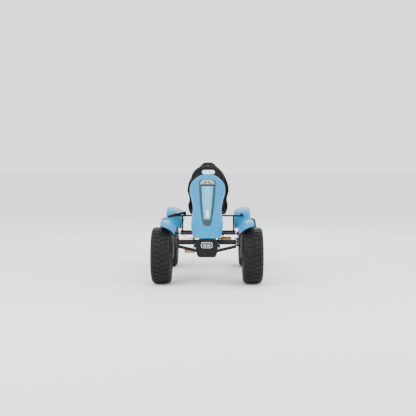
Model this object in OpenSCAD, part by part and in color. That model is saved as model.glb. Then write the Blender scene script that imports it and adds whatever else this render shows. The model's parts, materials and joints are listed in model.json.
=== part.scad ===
// Pedal go kart with a swinging front axle, a steered front end and a chain drive.
// The kart faces -Y, +X is its left side and +Z is up. The origin is on the floor, under the middle.

/* [Overall] */
// Distance between the front and the rear axle
wheelbase = 1080; // [960:10:1300]
// Middle of each wheel to the centre plane
track_half = 369.5; // [350:0.5:450]
// Reach of the front cover and of the tow plate past the axles
overhang = 265; // [265:5:320]
// Rise of the seat above its rail
seat_rise = 44; // [36:1:70]

/* [Wheels] */
// Outer diameter of the tyres
tyre_d = 460; // [400:5:500]
// Width of the tyres
tyre_w = 165; // [150:1:190]
// Thickness of the tyre carcass
tyre_wall = 9; // [6:0.5:14]
// Diameter of the rim at its bead seat
rim_d = 203; // [180:1:230]
// Sheet thickness of the rims
rim_sheet = 3; // [2:0.5:5]
// Diameter of the wheel spindles and of the rear axle
axle_d = 20; // [15:0.5:25]
// Outer diameter of the ball bearings
bearing_d = 42; // [35:1:47]
// Width of the ball bearings
bearing_w = 12; // [9:1:14]

/* [Frame] */
// Diameter of the backbone tube
backbone_d = 60; // [50:1:76]
// Height of the backbone and of the swing axis
backbone_z = 338; // [330:1:350]
// Height of the cross member
cross_h = 41; // [30:1:50]
// Length of the cross member
cross_w = 510; // [480:5:560]
// Diameter of the fender bar
bar_d = 16; // [12:0.5:22]
// Height of the fender bar
bar_z = 495; // [490:1:510]
// Height of the seat rail's top
rail_z = 470; // [455:1:476]
// Radius of the hitch pin's hole
hitch_r = 5.5; // [4:0.25:8]

/* [Front axle] */
// Diameter of the axle beam
beam_d = 42; // [32:1:50]
// Kingpin to the centre plane
kingpin_x = 255; // [240:1:280]
// Diameter of the kingpins
kingpin_d = 14; // [10:0.5:18]
// Length of the knuckles' steering arms
arm_len = 62; // [50:1:75]

/* [Steering] */
// Height of the steering wheel's centre
wheel_z = 843; // [820:1:880]
// Distance of the steering wheel's centre ahead of the middle
wheel_y = -60; // [-90:1:-40]
// Rise of the steering column above level
column_rise = 36; // [32:0.5:42]
// Lean of the lower shaft from upright
lower_lean = 24; // [18:0.5:30]
// Outer diameter of the steering wheel
hand_d = 288; // [260:1:320]
// Thickness of the steering wheel's grip
grip_d = 32; // [24:1:38]
// Diameter of the steering column
column_d = 22; // [18:0.5:28]
// Length of the drop arm
drop_arm = 42; // [36:0.5:50]
// Height of the tie rods
tie_z = 405; // [400:1:415]
// Diameter of the tie rods
tie_d = 10; // [8:0.5:14]

/* [Drive] */
// Distance of the crank ahead of the middle
crank_y = -230; // [-260:1:-200]
// Height of the crank
crank_z = 282; // [275:1:290]
// Length of the crank arms
crank_len = 140; // [120:1:150]
// Slope of the crank arms as the kart stands
crank_slope = 28; // [0:1:60]
// Teeth of the chainring
ring_teeth = 38; // [32:1:42]
// Teeth of the rear sprocket
sprocket_teeth = 16; // [14:1:20]
// Distance of the chain to the centre plane
chain_x = 60; // [56:1:66]
// Width of the pedals
pedal_w = 88; // [70:1:90]
// Length of the pedals
pedal_len = 86; // [70:1:95]
// Thickness of the pedals
pedal_h = 26; // [20:1:30]

/* [Brake] */
// Diameter of the brake drum
drum_d = 120; // [90:1:130]
// Width of the brake drum
drum_w = 30; // [20:1:36]
// Length of the brake lever
lever_len = 195; // [150:1:230]
// Diameter of the brake cable's jacket
cable_d = 6; // [4:0.5:8]

/* [Covers] */
// Wall of the nose cone
nose_wall = 4; // [3:0.5:6]
// Wall of the fenders
fender_wall = 4; // [3:0.5:6]
// Wall of the chain guard
guard_wall = 2.5; // [2:0.25:4]
// Wall of the seat shell
seat_wall = 7; // [5:0.5:10]

/* [Hidden] */
$fn = 48;

// Running clearance of every shaft in its hole, and the air beside what turns
fit = 0.05;
air = 1;

front_y = -wheelbase / 2;
rear_y = wheelbase / 2;
nose_tip_y = front_y - overhang;
tail_y = rear_y + overhang;
wheel_r = tyre_d / 2;
rim_r = rim_d / 2;
axle_r = axle_d / 2;
tyre_in = track_half - tyre_w / 2;

// Wheel: bead half width, well half width, rim flange, hub tube and wheel disc
bead_x = 61;
well_x = 28;
well_depth = 14;
flange_h = 9;
flange_t = 3.5;
hub_half = 42;
hub_r = bearing_d / 2 + 4;
disc_x = 10;
disc_t = 4;
disc_hole_d = 34;
disc_holes = 5;
cap_t = 3;
cap_len = 21;
nut_w = 8;

// Steering geometry: unit vectors of the column and of the lower shaft, and where they cross
column_v = [0, cos(column_rise), sin(column_rise)];
lower_v = [0, sin(lower_lean), cos(lower_lean)];
drop_v = [0, cos(lower_lean), -sin(lower_lean)];
wheel_c = [0, wheel_y, wheel_z];
tie_y = front_y + arm_len;
tie_in_x = 13;
tie_out_x = kingpin_x - 5;
ball_in = [0, tie_y, tie_z];
foot = ball_in - drop_arm * drop_v;
cross_det = column_v[1] * lower_v[2] - column_v[2] * lower_v[1];
column_len = ((wheel_y - foot[1]) * lower_v[2] - (wheel_z - foot[2]) * lower_v[1]) / cross_det;
joint_c = wheel_c - column_len * column_v;
joint_r = 15;
ball_h = 12;
stud_r = 4;
plate_gap = 5;
plate_t = 5;
plate_drop = ball_h / 2 + plate_gap + plate_t / 2;
stud_clear = 12;
upper_bush_at = 180;
lower_bush_at = 400;
shaft_bush_at = 60;
bush_len = 24;
bush_t = 3;
collar_t = 4;

// Front axle: yoke lugs, kingpin boss and knuckle plate
lug_r = 15;
lug_t = 8;
boss_h = 50;
boss_r = 15;
lug_gap = 1;
plate_x = kingpin_x + lug_r + 3;
knuckle_t = 8;
truss_d = 26;
sleeve_d = 36;
sleeve_len = 60;
fork_plate_t = 10;
pin_d = 20;

// Drive: pitch radii, chain plate height and guard outline
pitch = 12.7;
ring_r = pitch / (2 * sin(180 / ring_teeth));
sprocket_r = pitch / (2 * sin(180 / sprocket_teeth));
chain_half_h = 5.5;
chain_w = 8;
guard_gap = 14;
guard_half_w = 14;
crank_c = [crank_y, crank_z];
rear_c = [rear_y, wheel_r];
spindle_r = 8.5;
shell_d = 46;
shell_len = 68;
arm_x = 92;
arm_t = 12;
pedal_x = arm_x + arm_t + 8;
pedal_pin_r = 6;
reflector_t = 4;

// Rear end: bearing plates, cross member and hitch
plate_side_x = 140;
side_plate_t = 8;
cross_y = rear_y - 230;
cross_d = 40;
bearing_house_r = bearing_d / 2 + 7;
hitch_z = 300;
hitch_w = 70;
hitch_t = 8;
tail_tube_y = rear_y + 62;
drum_x = -75;
band_t = 3;
band_gap = 0.8;

// Seat rail, slider and slide travel
rail_h = 40;
rail_w = 40;
rail_front = 40;
rail_back = 340;
slider_front = 120;
slider_back = 230;
slider_t = 8;
slide_gap = 0.4;
seat_pan_z = rail_z + seat_rise;

// Handbrake: pivot, lever direction and hinge axis
lever_pivot = [-222, cross_y - 62, 526];
lever_dir = [-0.672, -0.729, -0.133];
lever_yaw = atan2(lever_dir[1], lever_dir[0]);
lever_tilt = asin(lever_dir[2]);
grip_len = 105;

// Bar between two points
module rod(a, b, d) {
    v = b - a;
    translate(a) rotate([0, acos(v[2] / norm(v)), atan2(v[1], v[0])]) cylinder(h = norm(v), d = d);
}

// Cylinder along X, centred on a point
module x_disc(c, r, w) {
    translate([c[0] - w / 2, c[1], c[2]]) rotate([0, 90, 0]) cylinder(h = w, r = r);
}

// Box given by its two corners
module slab(low, high) {
    translate(low) cube(high - low);
}

// Hexagon bolt head or nut whose axis is X
module x_hex(c, r, w) {
    translate([c[0] - w / 2, c[1], c[2]]) rotate([0, 90, 0]) cylinder(h = w, r = r, $fn = 6);
}

// Places children with their Z axis along a steering shaft's direction, which leans in the YZ plane
module along(origin, v) {
    translate(origin) rotate([-acos(v[2]), 0, 0]) children();
}

// Copies children to the left and the mirrored right side
module both_sides() {
    children();
    mirror([1, 0, 0]) children();
}

// ---- wheels ------------------------------------------------------------------------------------

section_h = wheel_r - rim_r;
half_w = tyre_w / 2;
// Half of the tyre's outer contour, from the bead to the crown: [radius, offset]
tyre_half = [
    [rim_r, bead_x],
    [rim_r + flange_h + 1, bead_x],
    [rim_r + 0.16 * section_h, 0.87 * half_w],
    [rim_r + 0.32 * section_h, 0.96 * half_w],
    [rim_r + 0.50 * section_h, half_w],
    [rim_r + 0.68 * section_h, 0.985 * half_w],
    [rim_r + 0.83 * section_h, 0.92 * half_w],
    [rim_r + 0.93 * section_h, 0.80 * half_w],
    [rim_r + 0.98 * section_h, 0.62 * half_w],
    [wheel_r, 0.34 * half_w]];
function inset(p) = [rim_r + (p[0] - rim_r) * (1 - tyre_wall / section_h), p[1] - tyre_wall];
function mirrored(list) = [for (i = [len(list) - 1 : -1 : 0]) [list[i][0], -list[i][1]]];
tyre_profile = concat(tyre_half, mirrored(tyre_half),
    [for (p = tyre_half) let (q = inset(p)) [q[0], -q[1]]],
    [for (i = [len(tyre_half) - 1 : -1 : 0]) inset(tyre_half[i])]);

// Tyre round the X axis; centre x and y of the wheel are given
module tyre(x, y) {
    color("#1d1d1f") translate([x, y, wheel_r]) rotate([0, 90, 0])
        rotate_extrude() polygon(tyre_profile);
}

// Half contour of the rim's outside, from its edge to the well: [radius, offset]
rim_half = [
    [rim_r + flange_h, bead_x + flange_t],
    [rim_r + flange_h, bead_x],
    [rim_r, bead_x],
    [rim_r, well_x + 8],
    [rim_r - well_depth, well_x]];
rim_inner_half = [
    [rim_r - rim_sheet, bead_x + flange_t],
    [rim_r - rim_sheet, well_x + 8 + 1],
    [rim_r - well_depth - rim_sheet, well_x + 1]];
rim_profile = concat(rim_half, mirrored(rim_half),
    [for (p = rim_inner_half) [p[0], -p[1]]],
    [for (i = [len(rim_inner_half) - 1 : -1 : 0]) rim_inner_half[i]]);

// Rim with its disc and hub tube; out is 1 for a left wheel and -1 for a right one.
// A free rim has bearing seats at both hub ends, a driven rim is bored for the axle.
module rim(x, y, out, free = true) {
    color("#c9ccd0") translate([x, y, wheel_r]) mirror([out < 0 ? 1 : 0, 0, 0]) rotate([0, 90, 0])
        difference() {
            union() {
                rotate_extrude() polygon(rim_profile);
                translate([0, 0, disc_x]) cylinder(h = disc_t, r = rim_r - well_depth - 1);
                translate([0, 0, -hub_half]) cylinder(h = 2 * hub_half, r = hub_r);
            }
            translate([0, 0, -hub_half - 1]) cylinder(h = 2 * hub_half + 2, r = free ? axle_r + 3 : axle_r);
            if (free) for (s = [-1, 1])
                translate([0, 0, s * (hub_half - bearing_w / 2)])
                    cylinder(h = bearing_w, d = bearing_d, center = true);
            for (i = [0 : disc_holes - 1]) rotate([0, 0, i * 360 / disc_holes])
                translate([(hub_r + rim_r - well_depth) / 2, 0, disc_x - 1])
                    cylinder(h = disc_t + 2, d = disc_hole_d);
        }
}

// Two ball bearings at the hub ends
module hub_bearings(x, y) {
    color("#9a9da1") for (s = [-1, 1])
        translate([x + s * (hub_half - bearing_w / 2), y, wheel_r]) rotate([0, 90, 0])
            difference() {
                cylinder(h = bearing_w, d = bearing_d, center = true);
                cylinder(h = bearing_w + 2, r = axle_r + fit, center = true);
            }
}

// Cap that slips over the outer end of the hub
module hub_cap(x, y, out) {
    color("#2a2b2d") translate([x, y, wheel_r]) mirror([out < 0 ? 1 : 0, 0, 0]) rotate([0, 90, 0])
        translate([0, 0, hub_half - 8]) rotate_extrude() polygon([
            [hub_r, 0], [hub_r + cap_t, 0], [hub_r + cap_t, cap_len], [hub_r - 2, cap_len + 6],
            [hub_r - 9, cap_len + 8], [0, cap_len + 8], [0, cap_len + 5], [hub_r - 10, cap_len + 5],
            [hub_r - 4, cap_len + 3], [hub_r, cap_len - 1]]);
}

// ---- frame -------------------------------------------------------------------------------------

function on_column(at) = wheel_c - at * column_v;
fork_back_y = front_y + sleeve_len / 2 + fork_plate_t;
fork_front_y = front_y - sleeve_len / 2 - fork_plate_t;
fork_top_z = backbone_z + beam_d / 2 + 8;
fork_half_w = 45;
flange_y = cross_y - cross_d / 2 - 8;
collar_r = column_d / 2 + bush_t + collar_t;
shaft_bush_c = foot + shaft_bush_at * lower_v;
lower_shaft_d = column_d - 4;
crank_bearing_r = 17.5;
crank_bearing_x = shell_len / 2 - bearing_w / 2;
post_d = 30;
bumper_y = nose_tip_y + 42;
bumper_z = 330;

// Cylinder along Y between two places
module y_bar(x, y0, y1, z, d) {
    translate([x, y1, z]) rotate([90, 0, 0]) cylinder(h = y1 - y0, d = d);
}

// Clears the bores of the bushes on the steering shafts
module bush_bores() {
    for (at = [upper_bush_at, lower_bush_at]) along(on_column(at), column_v)
        union() {
            cylinder(h = bush_len + 20, d = column_d + 2 * bush_t, center = true);
            cylinder(h = 6 * bush_len, r = column_d / 2 + 1.5, center = true);
        }
    along(shaft_bush_c, lower_v) cylinder(h = bush_len + 20, d = lower_shaft_d + 2 * bush_t, center = true);
}

// Web plate that carries the lower shaft's collar in front of the shaft: [y, z]
shaft_web = let (b = shaft_bush_c, foot_y = fork_front_y + 16, foot_z = fork_top_z + 2) [
    [foot_y, foot_z], [foot_y + 23, foot_z], [foot_y + 23, b[2] - 65], [b[1] - 24, b[2] - 22],
    [b[1] - 12, b[2] - 11], [b[1] - 12, b[2] + 11], [b[1] - 38, b[2] + 11], [foot_y, b[2] - 47]];

// Backbone with the axle fork, the steering posts, the crank shell, the seat rail and the bumper stays
module main_frame() {
    color("#232427") difference() {
        union() {
            y_bar(0, fork_back_y - 1, flange_y + 1, backbone_z, backbone_d);
            slab([-fork_half_w, fork_back_y - fork_plate_t, backbone_z - 34],
                [fork_half_w, fork_back_y, fork_top_z]);
            slab([-fork_half_w, fork_front_y, backbone_z - 34],
                [fork_half_w, fork_front_y + fork_plate_t, fork_top_z]);
            slab([-fork_half_w, fork_front_y, fork_top_z - 1], [fork_half_w, fork_back_y, fork_top_z + 9]);
            slab([-50, flange_y, backbone_z - 19], [50, flange_y + 8, backbone_z + 22]);
            // Steering posts and bush collars
            rod([0, on_column(lower_bush_at)[1], backbone_z], on_column(lower_bush_at), post_d);
            rod([0, on_column(upper_bush_at)[1] - 125, backbone_z], on_column(upper_bush_at), post_d);
            for (at = [upper_bush_at, lower_bush_at]) along(on_column(at), column_v)
                cylinder(h = post_d + 8, r = collar_r + 6, center = true);
            along(shaft_bush_c, lower_v)
                cylinder(h = bush_len, d = lower_shaft_d + 2 * bush_t + 2 * collar_t, center = true);
            translate([-5, 0, 0]) rotate([90, 0, 90]) linear_extrude(10) polygon(shaft_web);
            rod(on_column(lower_bush_at), on_column(lower_bush_at) + [0, -62, 68], 16);
            // Crank shell
            x_disc([0, crank_y, crank_z], shell_d / 2, shell_len);
            slab([-shell_len / 2 + 6, crank_y - 16, crank_z + 12],
                [shell_len / 2 - 6, crank_y + 16, backbone_z - backbone_d / 2 + 12]);
            // Seat rail on two uprights
            slab([-rail_w / 2, rail_front, rail_z - rail_h], [rail_w / 2, rail_back, rail_z]);
            for (y = [rail_front + 30, flange_y - 50])
                slab([-15, y, backbone_z + 10], [15, y + 30, rail_z - rail_h + 1]);
            // Bumper stays and the bracket under the nose
            both_sides() {
                rod([34, fork_front_y + 4, backbone_z], [60, bumper_y, bumper_z], 24);
            }
            slab([-72, bumper_y, bumper_z - 45], [72, bumper_y + 5, bumper_z + 45]);
            slab([-52, bumper_y + 20, bumper_z - 4], [52, bumper_y + 40, bumper_z + 4]);
            slab([-18, bumper_y + 30, bumper_z], [18, bumper_y + 36, bumper_z + 80]);
            slab([-18, bumper_y + 4, bumper_z + 74], [18, bumper_y + 36, bumper_z + 80]);
        }
        bush_bores();
        x_disc([0, crank_y, crank_z], crank_bearing_r, shell_len + 2);
        y_bar(0, fork_front_y - 5, fork_back_y + 20, backbone_z, pin_d);
        y_bar(0, fork_back_y + 12, flange_y - 4, backbone_z, backbone_d - 6);
    }
}

// Cross member, bearing plates, tail tube and the hitch plate
module rear_frame() {
    plate = [
        [cross_y + cross_d / 2 - 1, backbone_z - 18], [cross_y + cross_d / 2 - 1, backbone_z + 18],
        [tail_tube_y - 2, hitch_z + 24], [tail_tube_y + 24, hitch_z + 4], [tail_tube_y + 20, hitch_z - 22],
        [rear_y + 34, wheel_r - 24], [rear_y - 34, wheel_r - 24]];
    color("#232427") difference() {
        union() {
            slab([-cross_w / 2, cross_y - cross_d / 2, backbone_z - 19],
                [cross_w / 2, cross_y + cross_d / 2, backbone_z - 19 + cross_h]);
            both_sides() {
                translate([plate_side_x - side_plate_t / 2, 0, 0]) rotate([90, 0, 90])
                    linear_extrude(side_plate_t) polygon(plate);
                x_disc([plate_side_x, rear_y, wheel_r], bearing_house_r, bearing_w + 10);
            }
            x_disc([0, tail_tube_y, hitch_z], 15, 2 * plate_side_x + side_plate_t - 2);
            slab([-hitch_w / 2, tail_tube_y, hitch_z - hitch_t / 2],
                [hitch_w / 2, tail_y, hitch_z + hitch_t / 2]);
        }
        both_sides() x_disc([plate_side_x, rear_y, wheel_r], bearing_d / 2, bearing_w + 12);
        translate([0, tail_y - 20, hitch_z]) cylinder(h = 2 * hitch_t, r = hitch_r, center = true);
        slab([-cross_w / 2 - 1, cross_y - cross_d / 2 + 3, backbone_z - 16],
            [cross_w / 2 + 1, cross_y + cross_d / 2 - 3, backbone_z - 22 + cross_h]);
    }
}

// Hexagon head bolts that join the two frames
module frame_fasteners() {
    color("#b9bcc0") for (x = [-41, 41], z = [-11, 14])
        translate([x, flange_y, backbone_z + z]) rotate([90, 0, 0]) cylinder(h = 6, r = 7, $fn = 6);
}

// Swing bolt with its head and nut
module axle_pivot_bolt() {
    color("#b9bcc0") {
        y_bar(0, fork_front_y - 2, fork_back_y + 2, backbone_z, pin_d);
        translate([0, fork_front_y, backbone_z]) rotate([90, 0, 0]) cylinder(h = 9, r = 15, $fn = 6);
    }
}

// Four ball bearings: two in the crank shell and two in the bearing plates
module frame_bearings() {
    color("#9a9da1") both_sides() {
        difference() {
            x_disc([crank_bearing_x, crank_y, crank_z], crank_bearing_r, bearing_w);
            x_disc([crank_bearing_x, crank_y, crank_z], spindle_r + fit, bearing_w + 2);
        }
        difference() {
            x_disc([plate_side_x, rear_y, wheel_r], bearing_d / 2, bearing_w);
            x_disc([plate_side_x, rear_y, wheel_r], axle_r + fit, bearing_w + 2);
        }
    }
}

// Plastic bushes that carry both steering shafts
module column_bushes() {
    color("#3c4043") {
        for (at = [upper_bush_at, lower_bush_at]) along(on_column(at), column_v) difference() {
            cylinder(h = bush_len, d = column_d + 2 * bush_t, center = true);
            cylinder(h = bush_len + 2, r = column_d / 2 + fit, center = true);
        }
        along(shaft_bush_c, lower_v) difference() {
            cylinder(h = bush_len, d = lower_shaft_d + 2 * bush_t, center = true);
            cylinder(h = bush_len + 2, r = lower_shaft_d / 2 + fit, center = true);
        }
    }
}

// ---- front axle --------------------------------------------------------------------------------

lug_top_z = backbone_z + boss_h / 2 + lug_gap;
lug_low_z = backbone_z - boss_h / 2 - lug_gap - lug_t;
yoke_in_x = kingpin_x - lug_r - 9;

// Beam with its pivot sleeve, the truss tubes below and a yoke at each end
module front_axle() {
    color("#232427") difference() {
        union() {
            x_disc([0, front_y, backbone_z], beam_d / 2, 2 * yoke_in_x);
            y_bar(0, front_y - sleeve_len / 2 + air, front_y + sleeve_len / 2 - air, backbone_z, sleeve_d + 18);
            both_sides() {
                rod([yoke_in_x + 2, front_y, backbone_z - 36], [66, front_y, backbone_z - 76], truss_d);
                rod([66, front_y, backbone_z - 76], [66, front_y, backbone_z - 10], truss_d - 4);
                translate([66, front_y, backbone_z - 76]) sphere(d = truss_d + 1);
                slab([yoke_in_x - 2, front_y - 20, lug_low_z - 12],
                    [yoke_in_x + 6, front_y + 20, lug_top_z + lug_t]);
                for (z = [lug_low_z, lug_top_z]) {
                    slab([yoke_in_x, front_y - lug_r + 2, z], [kingpin_x, front_y + lug_r - 2, z + lug_t]);
                    translate([kingpin_x, front_y, z]) cylinder(h = lug_t, r = lug_r);
                }
            }
            x_disc([0, front_y, backbone_z - 76], truss_d / 2, 132);
        }
        y_bar(0, front_y - sleeve_len, front_y + sleeve_len, backbone_z, pin_d + 2 * fit);
        both_sides() translate([kingpin_x, front_y, lug_low_z - 1])
            cylinder(h = 2 * boss_h, d = kingpin_d);
    }
}

// Kingpins with round heads and a clip ring groove
module kingpins() {
    color("#b9bcc0") both_sides() translate([kingpin_x, front_y, 0]) {
        translate([0, 0, lug_low_z - 4]) cylinder(h = lug_top_z + lug_t + 4 - lug_low_z, d = kingpin_d);
        translate([0, 0, lug_top_z + lug_t]) cylinder(h = 5, r = kingpin_d / 2 + 4);
    }
}

arm_top_z = tie_z - ball_h / 2 - air;
spindle_end = track_half + hub_half + nut_w + 3;

// Left knuckle: boss, side plate, spindle and steering arm with its stud
module knuckle_shape() {
    color("#9b9fa3") difference() {
        union() {
            translate([kingpin_x, front_y, backbone_z]) cylinder(h = boss_h, r = boss_r, center = true);
            slab([kingpin_x, front_y - 10, backbone_z - boss_h / 2 + 2],
                [plate_x + 1, front_y + 10, backbone_z + boss_h / 2 - 2]);
            slab([plate_x, front_y - 20, wheel_r - 20], [plate_x + knuckle_t, front_y + 20, tie_z + 16]);
            translate([plate_x + 2, front_y, wheel_r]) rotate([0, 90, 0]) {
                cylinder(h = spindle_end - plate_x - 2, r = axle_r);
                cylinder(h = track_half - hub_half - air - plate_x - 2, r = axle_r + 4);
            }
            x_hex([track_half + hub_half + 1 + nut_w / 2, front_y, wheel_r], 15, nut_w);
            slab([tie_out_x - 11, front_y - 12, arm_top_z - 6], [plate_x + 1, front_y + 12, arm_top_z]);
            slab([tie_out_x - 11, front_y, arm_top_z - 6], [tie_out_x + 11, tie_y + 11, arm_top_z]);
            translate([tie_out_x, tie_y, arm_top_z - 2]) cylinder(h = ball_h + 2 * air + 3, r = stud_r);
            translate([tie_out_x, tie_y, tie_z + ball_h / 2 + air]) cylinder(h = 5, r = 7, $fn = 6);
        }
        translate([kingpin_x, front_y, backbone_z]) cylinder(h = boss_h + 2, r = kingpin_d / 2 + fit, center = true);
    }
}
module knuckle_left() { knuckle_shape(); }
module knuckle_right() { mirror([1, 0, 0]) knuckle_shape(); }

// Left tie rod: outer eye on the knuckle's stud, inner ball end with its own stud and nut
module tie_rod_shape() {
    inner = ball_in + [tie_in_x, 0, 0];
    color("#2c2d30") difference() {
        union() {
            translate([tie_out_x, tie_y, tie_z]) cylinder(h = ball_h, r = 11, center = true);
            rod(inner + [8, 0, 0], [tie_out_x - 8, tie_y, tie_z], tie_d);
            along(inner, lower_v) {
                cylinder(h = ball_h, r = 11, center = true);
                translate([0, 0, -plate_drop - plate_t / 2 - plate_gap - 5])
                    cylinder(h = plate_drop + plate_t / 2 + plate_gap + 5, r = stud_r);
                translate([0, 0, -plate_drop - plate_t / 2 - plate_gap - 5]) cylinder(h = 5, r = 7, $fn = 6);
            }
        }
        translate([tie_out_x, tie_y, tie_z]) cylinder(h = ball_h + 2, r = stud_r + fit, center = true);
    }
}
module tie_rod_left() { tie_rod_shape(); }
module tie_rod_right() { mirror([1, 0, 0]) tie_rod_shape(); }

// ---- steering ----------------------------------------------------------------------------------

lower_len = norm(joint_c - foot);

// Column with its ball at the lower end
module steering_column() {
    color("#2c2d30") along(joint_c, column_v) {
        cylinder(h = column_len - 14, d = column_d);
        sphere(r = joint_r);
    }
}

// Lower shaft with the ball's cup on top and the drop arm plate at its foot
module steering_lower_shaft() {
    color("#2c2d30") along(foot, lower_v) {
        difference() {
            translate([0, 0, lower_len]) sphere(r = joint_r + 5);
            translate([0, 0, lower_len]) sphere(r = joint_r + 0.3);
            translate([-30, -30, lower_len]) cube([60, 60, 30]);
        }
        translate([0, 0, -plate_drop - plate_t / 2])
            cylinder(h = plate_drop + plate_t / 2 + lower_len - joint_r - 2, d = lower_shaft_d);
        translate([0, 0, -plate_drop - plate_t / 2]) difference() {
            union() {
                cylinder(h = plate_t, r = 15);
                translate([-9, 0, 0]) cube([18, drop_arm, plate_t]);
                for (s = [-1, 1]) translate([s * tie_in_x, drop_arm, 0])
                    cylinder(h = plate_t, r = stud_r + stud_clear + 4);
            }
            for (s = [-1, 1]) translate([s * tie_in_x, drop_arm, -1])
                cylinder(h = plate_t + 2, r = stud_r + stud_clear);
        }
    }
}

// Steering wheel: rim, three spokes and the hub on the column's end
module steering_wheel() {
    ring_mid = hand_d / 2 - grip_d / 2;
    color("#1b1b1d") along(wheel_c, column_v) {
        rotate_extrude() translate([ring_mid, 0]) circle(d = grip_d);
        difference() {
            union() {
                for (a = [0, 90, 180]) rotate([0, 0, a]) translate([10, -15, -7]) cube([ring_mid - 12, 30, 10]);
                translate([0, 0, -26]) cylinder(h = 30, r = 26);
            }
            translate([0, 0, -40]) cylinder(h = 40 - 14, d = column_d);
        }
    }
}

// Padded centre of the steering wheel
module steering_pad() {
    color("#222326") along(wheel_c, column_v) translate([-39, -34, 4]) cube([78, 68, 20]);
}

// ---- drive -------------------------------------------------------------------------------------

// Outline that wraps two circles with straight tangents: centres [y, z] and radii
function arc_points(c, r, from, to, steps) =
    [for (i = [0 : steps]) let (a = from + (to - from) * i / steps) [c[0] + r * cos(a), c[1] + r * sin(a)]];
function belt(c1, r1, c2, r2, steps = 18) =
    let (d = c2 - c1, base = atan2(d[1], d[0]), spread = acos((r1 - r2) / norm(d)))
    concat(arc_points(c1, r1, base + spread, base + 360 - spread, steps),
        arc_points(c2, r2, base - spread, base + spread, steps));

// Closed loop plate of the given width, its low X face at x
module belt_plate(x, w, grow) {
    translate([x, 0, 0]) rotate([90, 0, 90]) linear_extrude(w)
        polygon(belt(crank_c, ring_r + grow, rear_c, sprocket_r + grow));
}

// Roller chain as one closed loop on its pitch line
module drive_chain() {
    color("#6d7074") difference() {
        belt_plate(chain_x - chain_w / 2, chain_w, chain_half_h);
        belt_plate(chain_x - chain_w / 2 - 1, chain_w + 2, -chain_half_h);
    }
}

// One half of the chain guard: a wall on the far side and a rim that reaches the middle
module guard_half(side) {
    low = side > 0 ? chain_x : chain_x - guard_half_w;
    difference() {
        belt_plate(low, guard_half_w, guard_gap);
        belt_plate(side > 0 ? low - 1 : low + guard_wall, guard_half_w - guard_wall + 1, guard_gap - guard_wall);
        x_disc([chain_x, crank_y, crank_z], 24, 60);
        x_disc([chain_x, rear_y, wheel_r], 26, 60);
    }
}
module chain_guard_outer() { color("#1f2022") guard_half(1); }
module chain_guard_inner() { color("#1f2022") guard_half(-1); }

// Chainring with its boss on the crank spindle
module chainring() {
    color("#8e9296") difference() {
        union() {
            x_disc([chain_x, crank_y, crank_z], ring_r - chain_half_h - 1, 4);
            x_disc([(chain_x - 8 + arm_x - arm_t / 2) / 2, crank_y, crank_z], 17, arm_x - arm_t / 2 - chain_x + 8);
        }
        x_disc([chain_x, crank_y, crank_z], spindle_r, 100);
        for (i = [0 : 4]) let (a = i * 72)
            x_disc([chain_x, crank_y + 42 * cos(a), crank_z + 42 * sin(a)], 13, 10);
    }
}

// One crank arm along +Y from the crank's centre, then turned to its slope
module crank_arm(x, turn) {
    translate([x - arm_t / 2, crank_y, crank_z]) rotate([turn, 0, 0]) {
        translate([0, 0, -11]) cube([arm_t, crank_len, 22]);
        for (y = [0, crank_len]) translate([0, y, 0]) rotate([0, 90, 0]) cylinder(h = arm_t, r = 14);
    }
}

function pedal_at(side) = [crank_y - side * crank_len * cos(crank_slope),
    crank_z + side * crank_len * sin(crank_slope)];

// Spindle, both arms and the pedal pins
module crank_arms() {
    color("#35373a") {
        x_disc([0, crank_y, crank_z], spindle_r, 2 * arm_x);
        crank_arm(arm_x, 180 - crank_slope);
        crank_arm(-arm_x, -crank_slope);
        for (s = [-1, 1]) let (p = pedal_at(s))
            x_disc([s * (arm_x + pedal_x + pedal_w - 4) / 2, p[0], p[1]], pedal_pin_r,
                pedal_x + pedal_w - 4 - arm_x);
    }
}

// Pedal block with two foot windows, bored for its pin and recessed for the reflectors
module pedal(s) {
    p = pedal_at(s);
    bar = 13;
    color("#1d1e20") translate([0, p[0], p[1]]) mirror([s < 0 ? 1 : 0, 0, 0]) difference() {
        slab([pedal_x, -pedal_len / 2, -pedal_h / 2], [pedal_x + pedal_w, pedal_len / 2, pedal_h / 2]);
        for (t = [-1, 1]) translate([0, t * (pedal_len / 2 - bar + 11) / 2, 0])
            slab([pedal_x + 10, -(pedal_len / 2 - bar - 11) / 2, -pedal_h],
                [pedal_x + pedal_w - 10, (pedal_len / 2 - bar - 11) / 2, pedal_h]);
        translate([pedal_x - 1, 0, 0]) rotate([0, 90, 0]) cylinder(h = pedal_w + 2, r = pedal_pin_r + fit);
        for (t = [-1, 1]) reflector(t);
    }
}

// Reflector on the pedal's front or back edge, in the pedal's own place
module reflector(t) {
    translate([0, t * (pedal_len - reflector_t) / 2, 0])
        slab([pedal_x + 6, -reflector_t / 2, -8], [pedal_x + pedal_w - 6, reflector_t / 2, 8]);
}
module pedal_reflectors(s) {
    p = pedal_at(s);
    color("#e08a1e") translate([0, p[0], p[1]]) mirror([s < 0 ? 1 : 0, 0, 0])
        for (t = [-1, 1]) reflector(t);
}
module pedal_left() { pedal(1); }
module pedal_right() { pedal(-1); }
module pedal_reflectors_left() { pedal_reflectors(1); }
module pedal_reflectors_right() { pedal_reflectors(-1); }

// ---- rear axle and brake -----------------------------------------------------------------------

// Axle shaft with a nut at each end
module rear_axle_shaft() {
    color("#a7abaf") {
        x_disc([0, rear_y, wheel_r], axle_r, 2 * spindle_end);
        for (s = [-1, 1]) x_hex([s * (track_half + hub_half + 1 + nut_w / 2), rear_y, wheel_r], 15, nut_w);
        x_disc([-(plate_side_x + 14 + track_half - hub_half - air) / 2, rear_y, wheel_r], axle_r + 4,
            track_half - hub_half - air - plate_side_x - 14);
    }
}

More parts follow.
